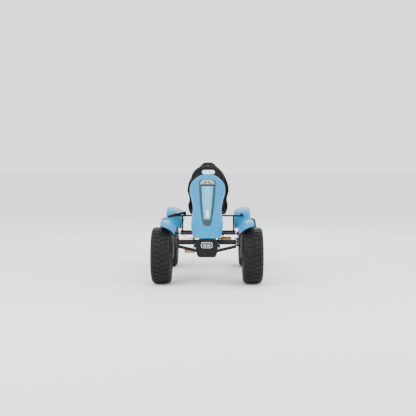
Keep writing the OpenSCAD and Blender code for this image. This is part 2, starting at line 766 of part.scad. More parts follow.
// Rear sprocket with its hub
module rear_sprocket() {
    color("#8e9296") difference() {
        union() {
            x_disc([chain_x, rear_y, wheel_r], sprocket_r - chain_half_h - 1, 5);
            x_disc([chain_x, rear_y, wheel_r], axle_r + 6, 50);
        }
        x_disc([chain_x, rear_y, wheel_r], axle_r, 80);
    }
}

// Brake drum with its hub
module brake_drum() {
    color("#7c8084") difference() {
        union() {
            x_disc([drum_x, rear_y, wheel_r], drum_d / 2, drum_w);
            x_disc([drum_x, rear_y, wheel_r], axle_r + 8, drum_w + 20);
        }
        x_disc([drum_x, rear_y, wheel_r], axle_r, drum_w + 40);
        translate([drum_x + 6, 0, 0]) difference() {
            x_disc([drum_w / 2, rear_y, wheel_r], drum_d / 2 - 8, drum_w);
            x_disc([drum_w / 2, rear_y, wheel_r], axle_r + 8, drum_w + 2);
        }
    }
}

band_r = drum_d / 2 + band_gap;
// Band round the drum, open at the top front where the cable pulls it shut, with its anchor at the back
module brake_band() {
    color("#55585c") {
        translate([drum_x - drum_w / 2 + 4, rear_y, wheel_r]) rotate([0, 90, 0]) rotate([0, 0, 190])
            rotate_extrude(angle = 320) translate([band_r, 0]) square([band_t, drum_w - 8]);
        rod([drum_x, rear_y + 0.70 * (band_r + 2), wheel_r + 0.72 * (band_r + 2)],
            [drum_x, tail_tube_y - 12, hitch_z - 14], 9);
        slab([drum_x - 7, rear_y - 14, wheel_r + band_r + 1], [drum_x + 7, rear_y - 8, wheel_r + band_r + 16]);
    }
}

lever_hinge_d = 10;
// Lever's own frame: its X runs along the lever and its Y along the hinge
module lever_frame() {
    translate(lever_pivot) rotate([0, 0, lever_yaw]) rotate([0, -lever_tilt, 0]) children();
}

// Lever plate with the cable's tab below the hinge
module handbrake_lever() {
    color("#26272a") lever_frame() difference() {
        union() {
            slab([-14, -3, -10], [lever_len - grip_len, 3, 10]);
            slab([lever_len - grip_len - 1, -3, -7], [lever_len - 25, 3, 7]);
            slab([-8, -3, -22], [8, 3, 0]);
        }
        rotate([90, 0, 0]) cylinder(h = 20, d = lever_hinge_d + 2 * fit, center = true);
    }
}

// Grip over the lever's tang
module handbrake_grip() {
    color("#151516") lever_frame() difference() {
        translate([lever_len - grip_len, 0, 0]) rotate([0, 90, 0]) cylinder(h = grip_len, r = 13);
        slab([lever_len - grip_len - 1, -3, -7], [lever_len - 25, 3, 7]);
    }
}

// Bar that carries the rear fenders, its legs, and the handbrake's bracket and hinge pin
module fender_bar() {
    bar_y = cross_y + 4;
    leg_x = 235;
    color("#232427") {
        x_disc([0, bar_y, bar_z], bar_d / 2, 2 * (leg_x + 95));
        both_sides() {
            rod([leg_x, bar_y, backbone_z - 19 + cross_h], [leg_x, bar_y, bar_z], bar_d - 1);
            slab([leg_x + 62, bar_y - 3, bar_z - 2], [leg_x + 84, bar_y + 3, bar_z + 22]);
        }
        lever_frame() rotate([0, lever_tilt, 0]) {
            translate([0, 0, 0]) rotate([90, 0, 0]) cylinder(h = 16, d = lever_hinge_d, center = true);
            slab([-24, 4, -30], [12, 8, 12]);
        }
        rod([-leg_x, bar_y - 2, bar_z], lever_pivot + [18, 14, -20], 12);
    }
}

// Route of the brake cable from the lever's bracket down in front of the cross member to the drum
cable_points = [
    [-216, 262, 500], [-220, 262, 470], [-230, 268, 430], [-238, 274, 390], [-236, 276, 350],
    [-222, 278, 310], [-196, 286, 290], [-160, 292, 286], [-122, 304, 284], [-100, 340, 284],
    [-90, 390, 288], [-82, 440, 296], [-76, 490, 304], [-75, 524, 302]];

// Tube swept along a list of points
module cable_tube(points, d, sides) {
    last = len(points) - 1;
    dirs = [for (i = [0 : last]) let (v = points[min(i + 1, last)] - points[max(i - 1, 0)]) v / norm(v)];
    rings = [for (i = [0 : last]) let (t = dirs[i], u0 = cross(t, [0.2, 0.3, 0.93]), u = u0 / norm(u0),
        w = cross(t, u)) for (k = [0 : sides - 1]) let (a = 360 * k / sides)
        points[i] + d / 2 * (cos(a) * u + sin(a) * w)];
    walls = [for (i = [0 : last - 1], k = [0 : sides - 1]) let (n = (k + 1) % sides)
        [i * sides + k, i * sides + n, (i + 1) * sides + n, (i + 1) * sides + k]];
    ends = [[for (k = [sides - 1 : -1 : 0]) k], [for (k = [0 : sides - 1]) last * sides + k]];
    polyhedron(rings, concat(walls, ends), convexity = 6);
}

// Curve through the cable's points, with steps between each pair
function spline(p, steps) = let (n = len(p) - 1) concat(
    [for (i = [0 : n - 1], s = [0 : steps - 1]) let (t = s / steps, a = p[max(i - 1, 0)], b = p[i],
        c = p[i + 1], e = p[min(i + 2, n)])
        0.5 * (2 * b + (c - a) * t + (2 * a - 5 * b + 4 * c - e) * t * t + (3 * b - a - 3 * c + e) * t * t * t)],
    [p[n]]);
module brake_cable() { color("#111112") cable_tube(spline(cable_points, 3), cable_d, 8); }

// ---- shells ------------------------------------------------------------------------------------

// Closed shell between two grids of points with the same rows and columns
module shell_loft(outer, inner) {
    m = len(outer);
    n = len(outer[0]);
    o = function(i, j) i * n + j;
    q = function(i, j) m * n + i * n + j;
    skin = [for (i = [0 : m - 2], j = [0 : n - 2]) each [
        [o(i, j), o(i, j + 1), o(i + 1, j + 1)], [o(i, j), o(i + 1, j + 1), o(i + 1, j)],
        [q(i, j), q(i + 1, j + 1), q(i, j + 1)], [q(i, j), q(i + 1, j), q(i + 1, j + 1)]]];
    sides = [for (i = [0 : m - 2]) each [
        [o(i, 0), o(i + 1, 0), q(i + 1, 0)], [o(i, 0), q(i + 1, 0), q(i, 0)],
        [o(i + 1, n - 1), o(i, n - 1), q(i, n - 1)], [o(i + 1, n - 1), q(i, n - 1), q(i + 1, n - 1)]]];
    ends = [for (j = [0 : n - 2]) each [
        [o(0, j + 1), o(0, j), q(0, j)], [o(0, j + 1), q(0, j), q(0, j + 1)],
        [o(m - 1, j), o(m - 1, j + 1), q(m - 1, j + 1)], [o(m - 1, j), q(m - 1, j + 1), q(m - 1, j)]]];
    polyhedron(concat([for (r = outer) each r], [for (r = inner) each r]), concat(skin, sides, ends), convexity = 8);
}

// Nose rows from the chin to the crown: reach ahead of the swing axis, height, half width, depth, tilt
nose_rows = [
    [245, 393, 108, 70, 0], [202, 440, 120, 85, 8], [150, 505, 130, 92, 16], [70, 585, 124, 95, 26],
    [-10, 660, 118, 95, 34], [-85, 728, 130, 95, 40], [-155, 795, 148, 90, 43], [-205, 838, 142, 60, 44],
    [-245, 868, 100, 30, 45], [-268, 884, 52, 9, 45], [-274, 888, 20, 8, 45]];
nose_steps = 8;
function nose_point(row, q, off) = let (w = row[2] - off, d = row[3] - off)
    [w * sin(q), front_y - row[0] + cos(row[4]) * (off + d * pow(1 - cos(q), 1.3)),
    row[1] - sin(row[4]) * (off + d * pow(1 - cos(q), 1.3))];
function nose_grid(off) = [for (row = nose_rows) [for (j = [-nose_steps : nose_steps])
    nose_point(row, 90 * j / nose_steps, off)]];

// Hood over the steering column
module nose_cone() { color("#4fb4dd") shell_loft(nose_grid(0), nose_grid(nose_wall)); }

// A row of the nose at any height between its chin and its crown
function nose_row_at(z) = [for (k = [0, 1, 2, 3, 4]) k == 1 ? z
    : lookup(z, [for (row = nose_rows) [row[1], row[k]]])];
// Point on the nose at height z and offset x, lifted off its skin
function on_nose(x, z, lift) = let (row = nose_row_at(z), q = asin(x / row[2]))
    nose_point(row, q, 0) + lift * [0, -cos(row[4]), sin(row[4])];

// Panel outline from its tip to its top: height and half width
panel_rows = [[485, 20], [505, 32], [550, 42], [620, 50], [690, 57], [760, 64], [815, 67], [835, 61], [844, 45]];
insert_rows = [[532, 25], [590, 33], [660, 40], [720, 45], [786, 51]];
module strip_on_nose(rows, low, high) {
    steps = 4;
    shell_loft([for (r = rows) [for (j = [-steps : steps]) on_nose(r[1] * j / steps, r[0], high)]],
        [for (r = rows) [for (j = [-steps : steps]) on_nose(r[1] * j / steps, r[0], low)]]);
}
module nose_panel() {
    color("#6f777d") strip_on_nose(panel_rows, 1.4, 6);
    color("#a9dcf0") strip_on_nose(insert_rows, 6.2, 9);
}

// Front cover with its ears and lower lip, and a plain badge on it
cover_outline = [
    [-62, 388], [-80, 372], [-84, 348], [-105, 342], [-108, 300], [-100, 288], [-84, 290], [-77, 262], [-66, 243],
    [66, 243], [77, 262], [84, 290], [100, 288], [108, 300], [105, 342], [84, 348], [80, 372], [62, 388]];
cover_wall = 4;
cover_depth = 34;
module front_cover() {
    color("#1f2022") difference() {
        translate([0, nose_tip_y + 6 + cover_depth, 0]) rotate([90, 0, 0])
            linear_extrude(cover_depth) polygon(cover_outline);
        slab([-72, nose_tip_y + 6 + cover_wall, 262], [72, nose_tip_y + cover_depth + 8, 380]);
    }
    color("#b9bcc0") {
        slab([-47, nose_tip_y, 316], [47, nose_tip_y + 5.8, 366]);
        for (x = [-93, 93]) translate([x, nose_tip_y + 5.8, 316]) rotate([90, 0, 0]) cylinder(h = 4, r = 9);
    }
}

// Fender section across the tyre, from the outer edge to the inner skirt: offset from the tyre's
// inner face and radius past the tyre. The rear fender's band is higher and its top slopes inwards.
rear_fender_line = [[107, 52], [104, 78], [90, 96], [60, 104], [20, 96], [-30, 76], [-45, 58]];
front_fender_line = [[90, 50], [84, 60], [70, 64], [55, 63], [38, 58], [14, 47], [-9, 26], [-32, 0]];
rear_fender_from = 30;
rear_fender_to = 122;
front_fender_from = 54;
front_fender_to = 130;

// Left fender: an arc round the wheel's axle, from one rise above level ahead to another
module fender(line, y, from, to) {
    outer = [for (p = line) [wheel_r + p[1], tyre_in + p[0]]];
    inner = [for (i = [len(line) - 1 : -1 : 0]) let (p = line[i], last = i == 0 || i == len(line) - 1)
        [wheel_r + p[1] - (last ? 0 : fender_wall),
        tyre_in + p[0] + (i == 0 ? -fender_wall : i == len(line) - 1 ? fender_wall : 0)]];
    color("#4fb4dd") translate([0, y, wheel_r]) rotate([0, 90, 0]) rotate([0, 0, 270 - to])
        rotate_extrude(angle = to - from) polygon(concat(outer, inner));
}
module front_fender_left() { fender(front_fender_line, front_y, front_fender_from, front_fender_to); }
module front_fender_right() { mirror([1, 0, 0]) front_fender_left(); }
module rear_fender_left() { fender(rear_fender_line, rear_y, rear_fender_from, rear_fender_to); }
module rear_fender_right() { mirror([1, 0, 0]) rear_fender_left(); }

// Stay from the knuckle plate to a pad under the front fender, with its bolt
module fender_stay() {
    stay_z = tie_z + 2;
    fold_z = 2 * wheel_r - 4;
    color("#9b9fa3") {
        slab([plate_x - 3, front_y - 14, stay_z - 14], [plate_x, front_y + 14, stay_z + 14]);
        translate([plate_x - 3, front_y + 9, 0]) rotate([90, 0, 0]) linear_extrude(18) polygon([
            [0, stay_z + 13], [3, stay_z + 13], [3, fold_z], [46, fold_z + 38], [64, fold_z + 41],
            [64, fold_z + 44], [44, fold_z + 42], [0, fold_z + 4]]);
        translate([plate_x + 55, front_y, fold_z + 43]) cylinder(h = 12, r = 7);
        translate([plate_x - 3, front_y, stay_z]) rotate([0, -90, 0]) cylinder(h = 6, r = 8, $fn = 6);
    }
}
module fender_stay_left() { fender_stay(); }
module fender_stay_right() { mirror([1, 0, 0]) fender_stay(); }

// ---- seat --------------------------------------------------------------------------------------

// Seat rows from the pan's lip to the headrest: place ahead or behind, height above the pan,
// half width, rise of the side wings and lean of the surface
seat_rows = [
    [78, 4, 158, 6, -25], [92, 16, 170, 22, -8], [130, 14, 178, 52, 4], [190, 8, 182, 76, 4],
    [260, 8, 183, 84, 8], [320, 22, 182, 84, 30], [362, 62, 176, 78, 56], [386, 120, 174, 72, 70],
    [404, 190, 194, 74, 76], [418, 250, 188, 66, 78], [432, 310, 168, 48, 78], [444, 360, 146, 30, 79],
    [454, 405, 112, 16, 80], [461, 437, 74, 8, 80], [466, 458, 58, 5, 80], [469, 471, 34, 2, 80]];
seat_steps = 9;
function seat_point(row, u, off) = let (rise = row[3] * pow(abs(u), 2.6) + off)
    [(row[2] - off * pow(abs(u), 4)) * sin(90 * u * 0.94) / sin(84.6), row[0] - rise * sin(row[4]),
    seat_pan_z + row[1] + rise * cos(row[4])];
function seat_grid(off) = [for (row = seat_rows) [for (j = [-seat_steps : seat_steps])
    seat_point(row, j / seat_steps, off)]];
hand_slot = [-58, 62, 362, 400];
module seat_shell() {
    color("#1c1d1f") difference() {
        shell_loft(seat_grid(seat_wall), seat_grid(0));
        slab([hand_slot[0], 380, seat_pan_z + hand_slot[2]], [hand_slot[1], 500, seat_pan_z + hand_slot[3]]);
    }
}

// Sleeve that slides on the seat rail, with the plate that the seat is bolted to
module seat_slider() {
    half = rail_w / 2 + slide_gap;
    color("#2c2d30") {
        difference() {
            slab([-half - slider_t, slider_front, rail_z - rail_h - slider_t],
                [half + slider_t, slider_back, seat_pan_z + 7]);
            slab([-half, slider_front - 1, rail_z - rail_h - slide_gap], [half, slider_back + 1, rail_z + slide_gap]);
            slab([-18, slider_front - 1, rail_z - rail_h - slider_t - 1], [18, slider_back + 1, rail_z - rail_h]);
        }
        translate([half + slider_t - 1, (slider_front + slider_back) / 2, rail_z - 18]) rotate([0, 90, 0])
            cylinder(h = 20, r = 5);
    }
}

// Lever that clamps the slider to the rail
module seat_clamp_lever() {
    x = rail_w / 2 + slide_gap + slider_t + 4;
    y = (slider_front + slider_back) / 2;
    color("#1d1e20") difference() {
        union() {
            translate([x, y, rail_z - 18]) rotate([0, 90, 0]) cylinder(h = 12, r = 11);
            slab([x + 1, y - 78, rail_z - 24], [x + 11, y, rail_z - 12]);
        }
        translate([x - 1, y, rail_z - 18]) rotate([0, 90, 0]) cylinder(h = 14, r = 5 + fit);
    }
}

module front_tyre_left() { tyre(track_half, front_y); }
module front_tyre_right() { tyre(-track_half, front_y); }
module rear_tyre_left() { tyre(track_half, rear_y); }
module rear_tyre_right() { tyre(-track_half, rear_y); }
module front_rim_left() { rim(track_half, front_y, 1); }
module front_rim_right() { rim(-track_half, front_y, -1); }
module rear_rim_left() { rim(track_half, rear_y, 1, false); }
module rear_rim_right() { rim(-track_half, rear_y, -1); }
module front_bearings_left() { hub_bearings(track_half, front_y); }
module front_bearings_right() { hub_bearings(-track_half, front_y); }
module rear_bearings_right() { hub_bearings(-track_half, rear_y); }
module front_hub_cap_left() { hub_cap(track_half, front_y, 1); }
module front_hub_cap_right() { hub_cap(-track_half, front_y, -1); }
module rear_hub_cap_left() { hub_cap(track_half, rear_y, 1); }
module rear_hub_cap_right() { hub_cap(-track_half, rear_y, -1); }

main_frame();
rear_frame();
frame_fasteners();
nose_cone();
nose_panel();
front_cover();
chain_guard_outer();
chain_guard_inner();
drive_chain();
rear_fender_left();
rear_fender_right();
fender_bar();
brake_cable();
brake_band();
frame_bearings();
column_bushes();
axle_pivot_bolt();
front_axle();
kingpins();
knuckle_left();
knuckle_right();
front_fender_left();
front_fender_right();
fender_stay_left();
fender_stay_right();
tie_rod_left();
tie_rod_right();
front_tyre_left();
front_tyre_right();
front_rim_left();
front_rim_right();
front_bearings_left();
front_bearings_right();
front_hub_cap_left();
front_hub_cap_right();
steering_column();
steering_wheel();
steering_pad();
steering_lower_shaft();
rear_axle_shaft();
rear_sprocket();
brake_drum();
rear_tyre_left();
rear_tyre_right();
rear_rim_left();
rear_rim_right();
rear_bearings_right();
rear_hub_cap_left();
rear_hub_cap_right();
crank_arms();
chainring();
pedal_left();
pedal_right();
pedal_reflectors_left();
pedal_reflectors_right();
seat_shell();
seat_slider();
seat_clamp_lever();
handbrake_lever();
handbrake_grip();
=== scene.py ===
"""Pedal go kart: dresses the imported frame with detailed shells, tyres, trim and finishes."""

from __future__ import annotations

import json
import logging
import math
from dataclasses import dataclass, field
from enum import Enum
from typing import Callable, Sequence, Union

import bmesh
import bpy
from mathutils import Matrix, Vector


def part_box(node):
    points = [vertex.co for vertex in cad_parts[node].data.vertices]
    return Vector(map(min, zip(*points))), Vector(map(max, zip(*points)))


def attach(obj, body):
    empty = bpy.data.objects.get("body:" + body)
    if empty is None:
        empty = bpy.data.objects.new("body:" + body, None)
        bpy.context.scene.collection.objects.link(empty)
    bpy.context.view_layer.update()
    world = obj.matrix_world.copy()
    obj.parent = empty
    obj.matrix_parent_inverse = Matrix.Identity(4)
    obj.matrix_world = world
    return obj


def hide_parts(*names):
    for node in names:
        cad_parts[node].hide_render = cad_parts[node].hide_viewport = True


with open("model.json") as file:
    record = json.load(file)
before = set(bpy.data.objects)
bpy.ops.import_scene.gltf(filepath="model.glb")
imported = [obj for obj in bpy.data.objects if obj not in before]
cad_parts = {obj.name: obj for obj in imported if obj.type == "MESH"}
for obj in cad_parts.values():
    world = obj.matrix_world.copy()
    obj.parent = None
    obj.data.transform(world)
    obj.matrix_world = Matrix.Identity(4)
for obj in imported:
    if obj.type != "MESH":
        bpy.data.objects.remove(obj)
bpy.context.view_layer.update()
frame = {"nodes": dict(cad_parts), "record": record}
LOG = logging.getLogger("kart")

MM = 0.001
Point = Sequence[float]
Colour = tuple[float, float, float]
Operand = Union["Signal", float]


class Side(Enum):
    """The two sides of the kart, with the direction of X that leads there."""

    LEFT = 1
    RIGHT = -1

    @property
    def word(self) -> str:
        """The side's word in node and body names."""
        return self.name.lower()


class Space(Enum):
    """The texture coordinates that a finish may be laid out in."""

    OBJECT = "Object"
    GENERATED = "Generated"


# ---- shader expressions ------------------------------------------------------------------------


class Signal:
    """A shader socket that can be used in Python expressions."""

    def __init__(self, graph: "Graph", socket: bpy.types.NodeSocket) -> None:
        """Wraps a socket of the graph."""
        self.graph = graph
        self.socket = socket

    def _math(self, operation: str, *operands: Operand, clamp: bool = False) -> "Signal":
        """Adds a Math node.

        Args:
            operation: the Math node's operation.
            operands: its inputs in order, signals or numbers.
            clamp: whether the result is held between 0 and 1.

        Returns:
            The node's result.
        """
        node = self.graph.node(
            "ShaderNodeMath", {"operation": operation, "use_clamp": clamp}, dict(enumerate(operands))
        )
        return Signal(self.graph, node.outputs[0])

    def __add__(self, other: Operand) -> "Signal":
        """self + other."""
        return self._math("ADD", self, other)

    def __radd__(self, other: Operand) -> "Signal":
        """other + self."""
        return self._math("ADD", other, self)

    def __sub__(self, other: Operand) -> "Signal":
        """self - other."""
        return self._math("SUBTRACT", self, other)

    def __rsub__(self, other: Operand) -> "Signal":
        """other - self."""
        return self._math("SUBTRACT", other, self)

    def __mul__(self, other: Operand) -> "Signal":
        """self * other."""
        return self._math("MULTIPLY", self, other)

    def __rmul__(self, other: Operand) -> "Signal":
        """other * self."""
        return self._math("MULTIPLY", other, self)

    def __pow__(self, other: Operand) -> "Signal":
        """self ** other."""
        return self._math("POWER", self, other)

    def clamped(self) -> "Signal":
        """The value held between 0 and 1."""
        return self._math("ADD", self, 0.0, clamp=True)

    def sine(self) -> "Signal":
        """The sine of the value in radians."""
        return self._math("SINE", self)

    def ramp(self, low: float, high: float) -> "Signal":
        """A smooth rise from 0 at low to 1 at high."""
        node = self.graph.node(
            "ShaderNodeMapRange",
            {"interpolation_type": "SMOOTHSTEP"},
            {"Value": self, "From Min": low, "From Max": high},
        )
        return Signal(self.graph, node.outputs[0])


class Graph:
    """The node tree of one material."""

    def __init__(self, name: str) -> None:
        """Makes a material of that name with an empty tree and an output."""
        self.material = bpy.data.materials.new(name)
        self.material.use_nodes = True
        self.tree = self.material.node_tree
        self.tree.nodes.clear()
        self.output = self.tree.nodes.new("ShaderNodeOutputMaterial")

    def node(
        self, kind: str, settings: dict[str, object] | None = None, inputs: dict | None = None
    ) -> bpy.types.Node:
        """Adds any node.

        Args:
            kind: Blender's name of the node type.
            settings: the node's own properties, set before its sockets.
            inputs: socket name or number to a value or a Signal.

        Returns:
            The new node.
        """
        node = self.tree.nodes.new(kind)
        for key, value in (settings or {}).items():
            setattr(node, key, value)
        for key, value in (inputs or {}).items():
            socket = node.inputs[key]
            if isinstance(value, Signal):
                self.tree.links.new(value.socket, socket)
            else:
                socket.default_value = value
        return node

    def coords(self, space: Space = Space.OBJECT) -> Signal:
        """Texture coordinates of that space."""
        return Signal(self, self.node("ShaderNodeTexCoord").outputs[space.value])

    def axes(self, vector: Signal) -> tuple[Signal, Signal, Signal]:
        """The three parts of a vector."""
        node = self.node("ShaderNodeSeparateXYZ", None, {0: vector})
        return tuple(Signal(self, socket) for socket in node.outputs)

    def stretched(self, vector: Signal, factors: Point) -> Signal:
        """The vector times a factor on each axis."""
        node = self.node("ShaderNodeVectorMath", {"operation": "MULTIPLY"}, {0: vector, 1: factors})
        return Signal(self, node.outputs[0])

    def noise(self, vector: Signal, scale: float, detail: float = 3.0, rough: float = 0.55) -> Signal:
        """Fractal noise around 0.5.

        Args:
            vector: where it is sampled.
            scale: features per metre, or per box side in generated space.
            detail: octaves.
            rough: strength of the finer octaves.

        Returns:
            The noise value.
        """
        node = self.node(
            "ShaderNodeTexNoise", None,
            {"Vector": vector, "Scale": scale, "Detail": detail, "Roughness": rough}
        )
        return Signal(self, node.outputs[0])

    def cells(self, vector: Signal, scale: float, feature: str = "F1") -> Signal:
        """Distance to the nearest cell centre or cell edge of a Voronoi pattern."""
        node = self.node("ShaderNodeTexVoronoi", {"feature": feature}, {"Vector": vector, "Scale": scale})
        return Signal(self, node.outputs["Distance"])

    def blended(self, mask: Operand, low: Colour | Signal, high: Colour | Signal) -> Signal:
        """A colour between low and high.

        Args:
            mask: 0 for low, 1 for high.
            low: the colour at 0.
            high: the colour at 1.

        Returns:
            The mixed colour.
        """
        colours = [c if isinstance(c, Signal) else (*c, 1.0) for c in (low, high)]
        node = self.node("ShaderNodeMix", {"data_type": "RGBA"}, {0: mask, 6: colours[0], 7: colours[1]})
        return Signal(self, node.outputs[2])

    def bump(self, height: Signal, strength: float, distance: float) -> Signal:
        """A normal bent by a height.

        Args:
            height: the height map.
            strength: how much of the effect is kept.
            distance: metres that one unit of height stands for.

        Returns:
            The normal.
        """
        node = self.node("ShaderNodeBump", None,
                         {"Strength": strength, "Distance": distance, "Height": height})
        return Signal(self, node.outputs[0])

    def edges(self) -> Signal:
        """A mask that rises on convex edges."""
        node = self.node("ShaderNodeNewGeometry")
        return Signal(self, node.outputs["Pointiness"]).ramp(0.52, 0.62)

    def surface(self, inputs: dict) -> bpy.types.Material:
        """Closes the graph with a principled surface and returns the material."""
        shader = self.node("ShaderNodeBsdfPrincipled", None, inputs)
        self.tree.links.new(shader.outputs[0], self.output.inputs[0])
        return self.material


def shade(colour: Colour, factor: float) -> Colour:
    """The colour made darker or lighter by a factor."""
    return tuple(min(1.0, part * factor) for part in colour)


# ---- finishes ----------------------------------------------------------------------------------


@dataclass(frozen=True)
class MouldedPlastic:
    """Injection or blow moulded plastic with a fine grain, faint mottling and handling marks."""

    name: str
    colour: Colour
    roughness: float = 0.38
    grain: float = 900.0
    grain_depth: float = 0.00006
    mottling: float = 0.06
    dust: float = 0.12
    coat: float = 0.0
    specular: float = 0.5

    def make(self) -> bpy.types.Material:
        """Builds the material."""
        g = Graph(self.name)
        here = g.coords()
        broad = g.noise(here, 6.0, 4.0)
        fine = g.noise(here, self.grain, 2.0)
        pits = g.cells(here, self.grain * 0.6)
        scuffs = g.noise(g.stretched(here, (1.0, 0.12, 1.0)), 160.0, 5.0, 0.7).ramp(0.62, 0.74)
        height = g.axes(here)[2]
        low_dust = (1.0 - height.ramp(0.10, 0.60)) * g.noise(here, 24.0, 5.0).ramp(0.45, 0.75) * self.dust
        body = g.blended(
            broad.ramp(0.3, 0.7), shade(self.colour, 1.0 - self.mottling),
            shade(self.colour, 1.0 + self.mottling)
        )
        dusty = g.blended(low_dust, body, (0.14, 0.13, 0.115))
        worn = g.blended(g.edges() * 0.25, dusty, shade(self.colour, 1.6))
        return g.surface({
            "Base Color": worn,
            "Roughness": self.roughness + broad * 0.08 + scuffs * 0.14 + low_dust * 0.9,
            "Coat Weight": self.coat,
            "Coat Roughness": 0.08,
            "Specular IOR Level": self.specular,
            "Normal": g.bump(fine * 0.6 + pits * 0.4 - scuffs * 0.3, 0.6, self.grain_depth),
        })


@dataclass(frozen=True)
class Paint:
    """Sprayed or powder coated steel: orange peel, scattered chips and a little road dust."""

    name: str
    colour: Colour
    roughness: float = 0.34
    peel: float = 420.0
    chip_colour: Colour = (0.30, 0.29, 0.28)
    chips: float = 0.5
    metallic: float = 0.0
    coat: float = 0.25
    specular: float = 0.5

    def make(self) -> bpy.types.Material:
        """Builds the material."""
        g = Graph(self.name)
        here = g.coords()
        peel = g.noise(here, self.peel, 1.0)
        broad = g.noise(here, 9.0, 4.0)
        chip = g.noise(here, 150.0, 4.0).ramp(0.70, 0.76) * self.chips
        height = g.axes(here)[2]
        dust = (1.0 - height.ramp(0.05, 0.45)) * g.noise(here, 30.0, 5.0).ramp(0.42, 0.72) * 0.16
        base = g.blended(broad.ramp(0.3, 0.7), shade(self.colour, 0.92), shade(self.colour, 1.1))
        chipped = g.blended(chip, base, self.chip_colour)
        return g.surface({
            "Base Color": g.blended(dust, chipped, (0.10, 0.095, 0.085)),
            "Roughness": self.roughness + broad * 0.1 + chip * 0.2 + dust,
            "Metallic": chip * 0.5 + self.metallic,
            "Coat Weight": self.coat,
            "Coat Roughness": 0.15,
            "Specular IOR Level": self.specular,
            "Normal": g.bump(peel - chip * 1.5, 0.5, 0.00012),
        })


@dataclass(frozen=True)
class BareMetal:
    """Plated or oiled metal with brushing, stains and rubbed edges."""

    name: str
    colour: Colour
    roughness: float = 0.3
    brushing: Point = (30.0, 900.0, 900.0)
    stain: float = 0.35
    stain_colour: Colour = (0.12, 0.09, 0.07)

    def make(self) -> bpy.types.Material:
        """Builds the material."""
        g = Graph(self.name)
        here = g.coords()
        lines = g.noise(g.stretched(here, self.brushing), 1.0, 3.0)
        broad = g.noise(here, 40.0, 5.0)
        stained = broad.ramp(0.52, 0.75) * self.stain
        rubbed = g.edges() * 0.3
        tone = g.blended(lines, shade(self.colour, 0.82), shade(self.colour, 1.12))
        dirty = g.blended(stained, tone, self.stain_colour)
        return g.surface({
            "Base Color": g.blended(rubbed, dirty, shade(self.colour, 1.3)),
            "Roughness": self.roughness + lines * 0.12 + stained * 0.5,
            "Metallic": 0.95 - stained * 0.5,
            "Normal": g.bump(lines * 0.7 + broad * 0.3, 0.4, 0.00008),
        })


@dataclass(frozen=True)
class TyreRubber:
    """Black rubber with fine moulding grain, dust low in the tread and a worn, paler crown."""

    name: str
    colour: Colour = (0.0042, 0.0045, 0.0050)
    worn_colour: Colour = (0.010, 0.0103, 0.011)
    dust_colour: Colour = (0.034, 0.032, 0.028)

    def make(self) -> bpy.types.Material:
        """Builds the material."""
        g = Graph(self.name)
        across, along, up = g.axes(g.coords(Space.GENERATED))
        radius = ((along - 0.5) ** 2.0 + (up - 0.5) ** 2.0) ** 0.5 * 2.0
        here = g.coords()
        fine = g.noise(here, 700.0, 3.0)
        blotch = g.noise(here, 22.0, 5.0)
        crown = radius.ramp(0.975, 0.998)
        groove = radius.ramp(0.90, 0.95) * (1.0 - radius.ramp(0.965, 0.985))
        rings = (radius * 260.0).sine() * radius.ramp(0.50, 0.54) * (1.0 - radius.ramp(0.66, 0.70))
        worn = g.blended(crown * blotch.ramp(0.3, 0.7), self.colour, self.worn_colour)
        dust = (groove * 0.30 + blotch.ramp(0.5, 0.8) * 0.12).clamped()
        return g.surface({
            "Base Color": g.blended(dust, worn, self.dust_colour),
            "Roughness": 0.50 + blotch * 0.2 - crown * 0.08,
            "Specular IOR Level": 0.20,
            "Normal": g.bump(fine * 0.5 + rings * 0.5, 0.5, 0.0003),
        })


@dataclass(frozen=True)
class SoftGrip:
    """Matt rubber with a fine knurl."""

    name: str
    colour: Colour = (0.008, 0.008, 0.009)
    knurl: float = 420.0

    def make(self) -> bpy.types.Material:
        """Builds the material."""
        g = Graph(self.name)
        here = g.coords()
        dots = g.cells(here, self.knurl)
        wear = g.noise(here, 30.0, 4.0).ramp(0.45, 0.7)
        return g.surface({
            "Base Color": g.blended(wear, self.colour, shade(self.colour, 2.0)),
            "Roughness": 0.72 - wear * 0.2,
            "Specular IOR Level": 0.22,
            "Normal": g.bump(1.0 - dots, 0.6, 0.0004),
        })


@dataclass(frozen=True)
class Reflector:
    """Amber reflector: clear glossy skin over a grid of small prisms, with painted glints across the prisms
    and a weak painted glow.
    """

    name: str
    colour: Colour = (0.88, 0.30, 0.02)
    pitch: float = 0.004

    def make(self) -> bpy.types.Material:
        """Builds the material."""
        g = Graph(self.name)
        here = g.coords()
        x, _, z = g.axes(here)
        wave = math.tau / self.pitch
        prisms = (x * wave).sine() * (z * wave).sine()
        # painted glints: the amber swings between a shaded copy and a bright copy across the prism grid
        tone = g.blended(prisms.ramp(-0.6, 0.9), shade(self.colour, 0.55), (1.0, 0.52, 0.10))
        return g.surface({
            "Base Color": tone,
            "Roughness": 0.22 + g.noise(here, 60.0) * 0.1,
            # painted light: a weak emission makes the reflector glow, though it is no lamp
            "Emission Color": tone,
            "Emission Strength": 0.12,
            "Coat Weight": 1.0,
            "Coat Roughness": 0.03,
            "Normal": g.bump(prisms, 0.7, 0.0006),
        })


# ---- mesh making -------------------------------------------------------------------------------


def vec(x: float, y: float, z: float) -> Vector:
    """A vector from its three parts."""
    return Vector((x, y, z))


def mix(a: float, b: float, t: float) -> float:
    """The value a share t of the way from a to b."""
    return a + (b - a) * t


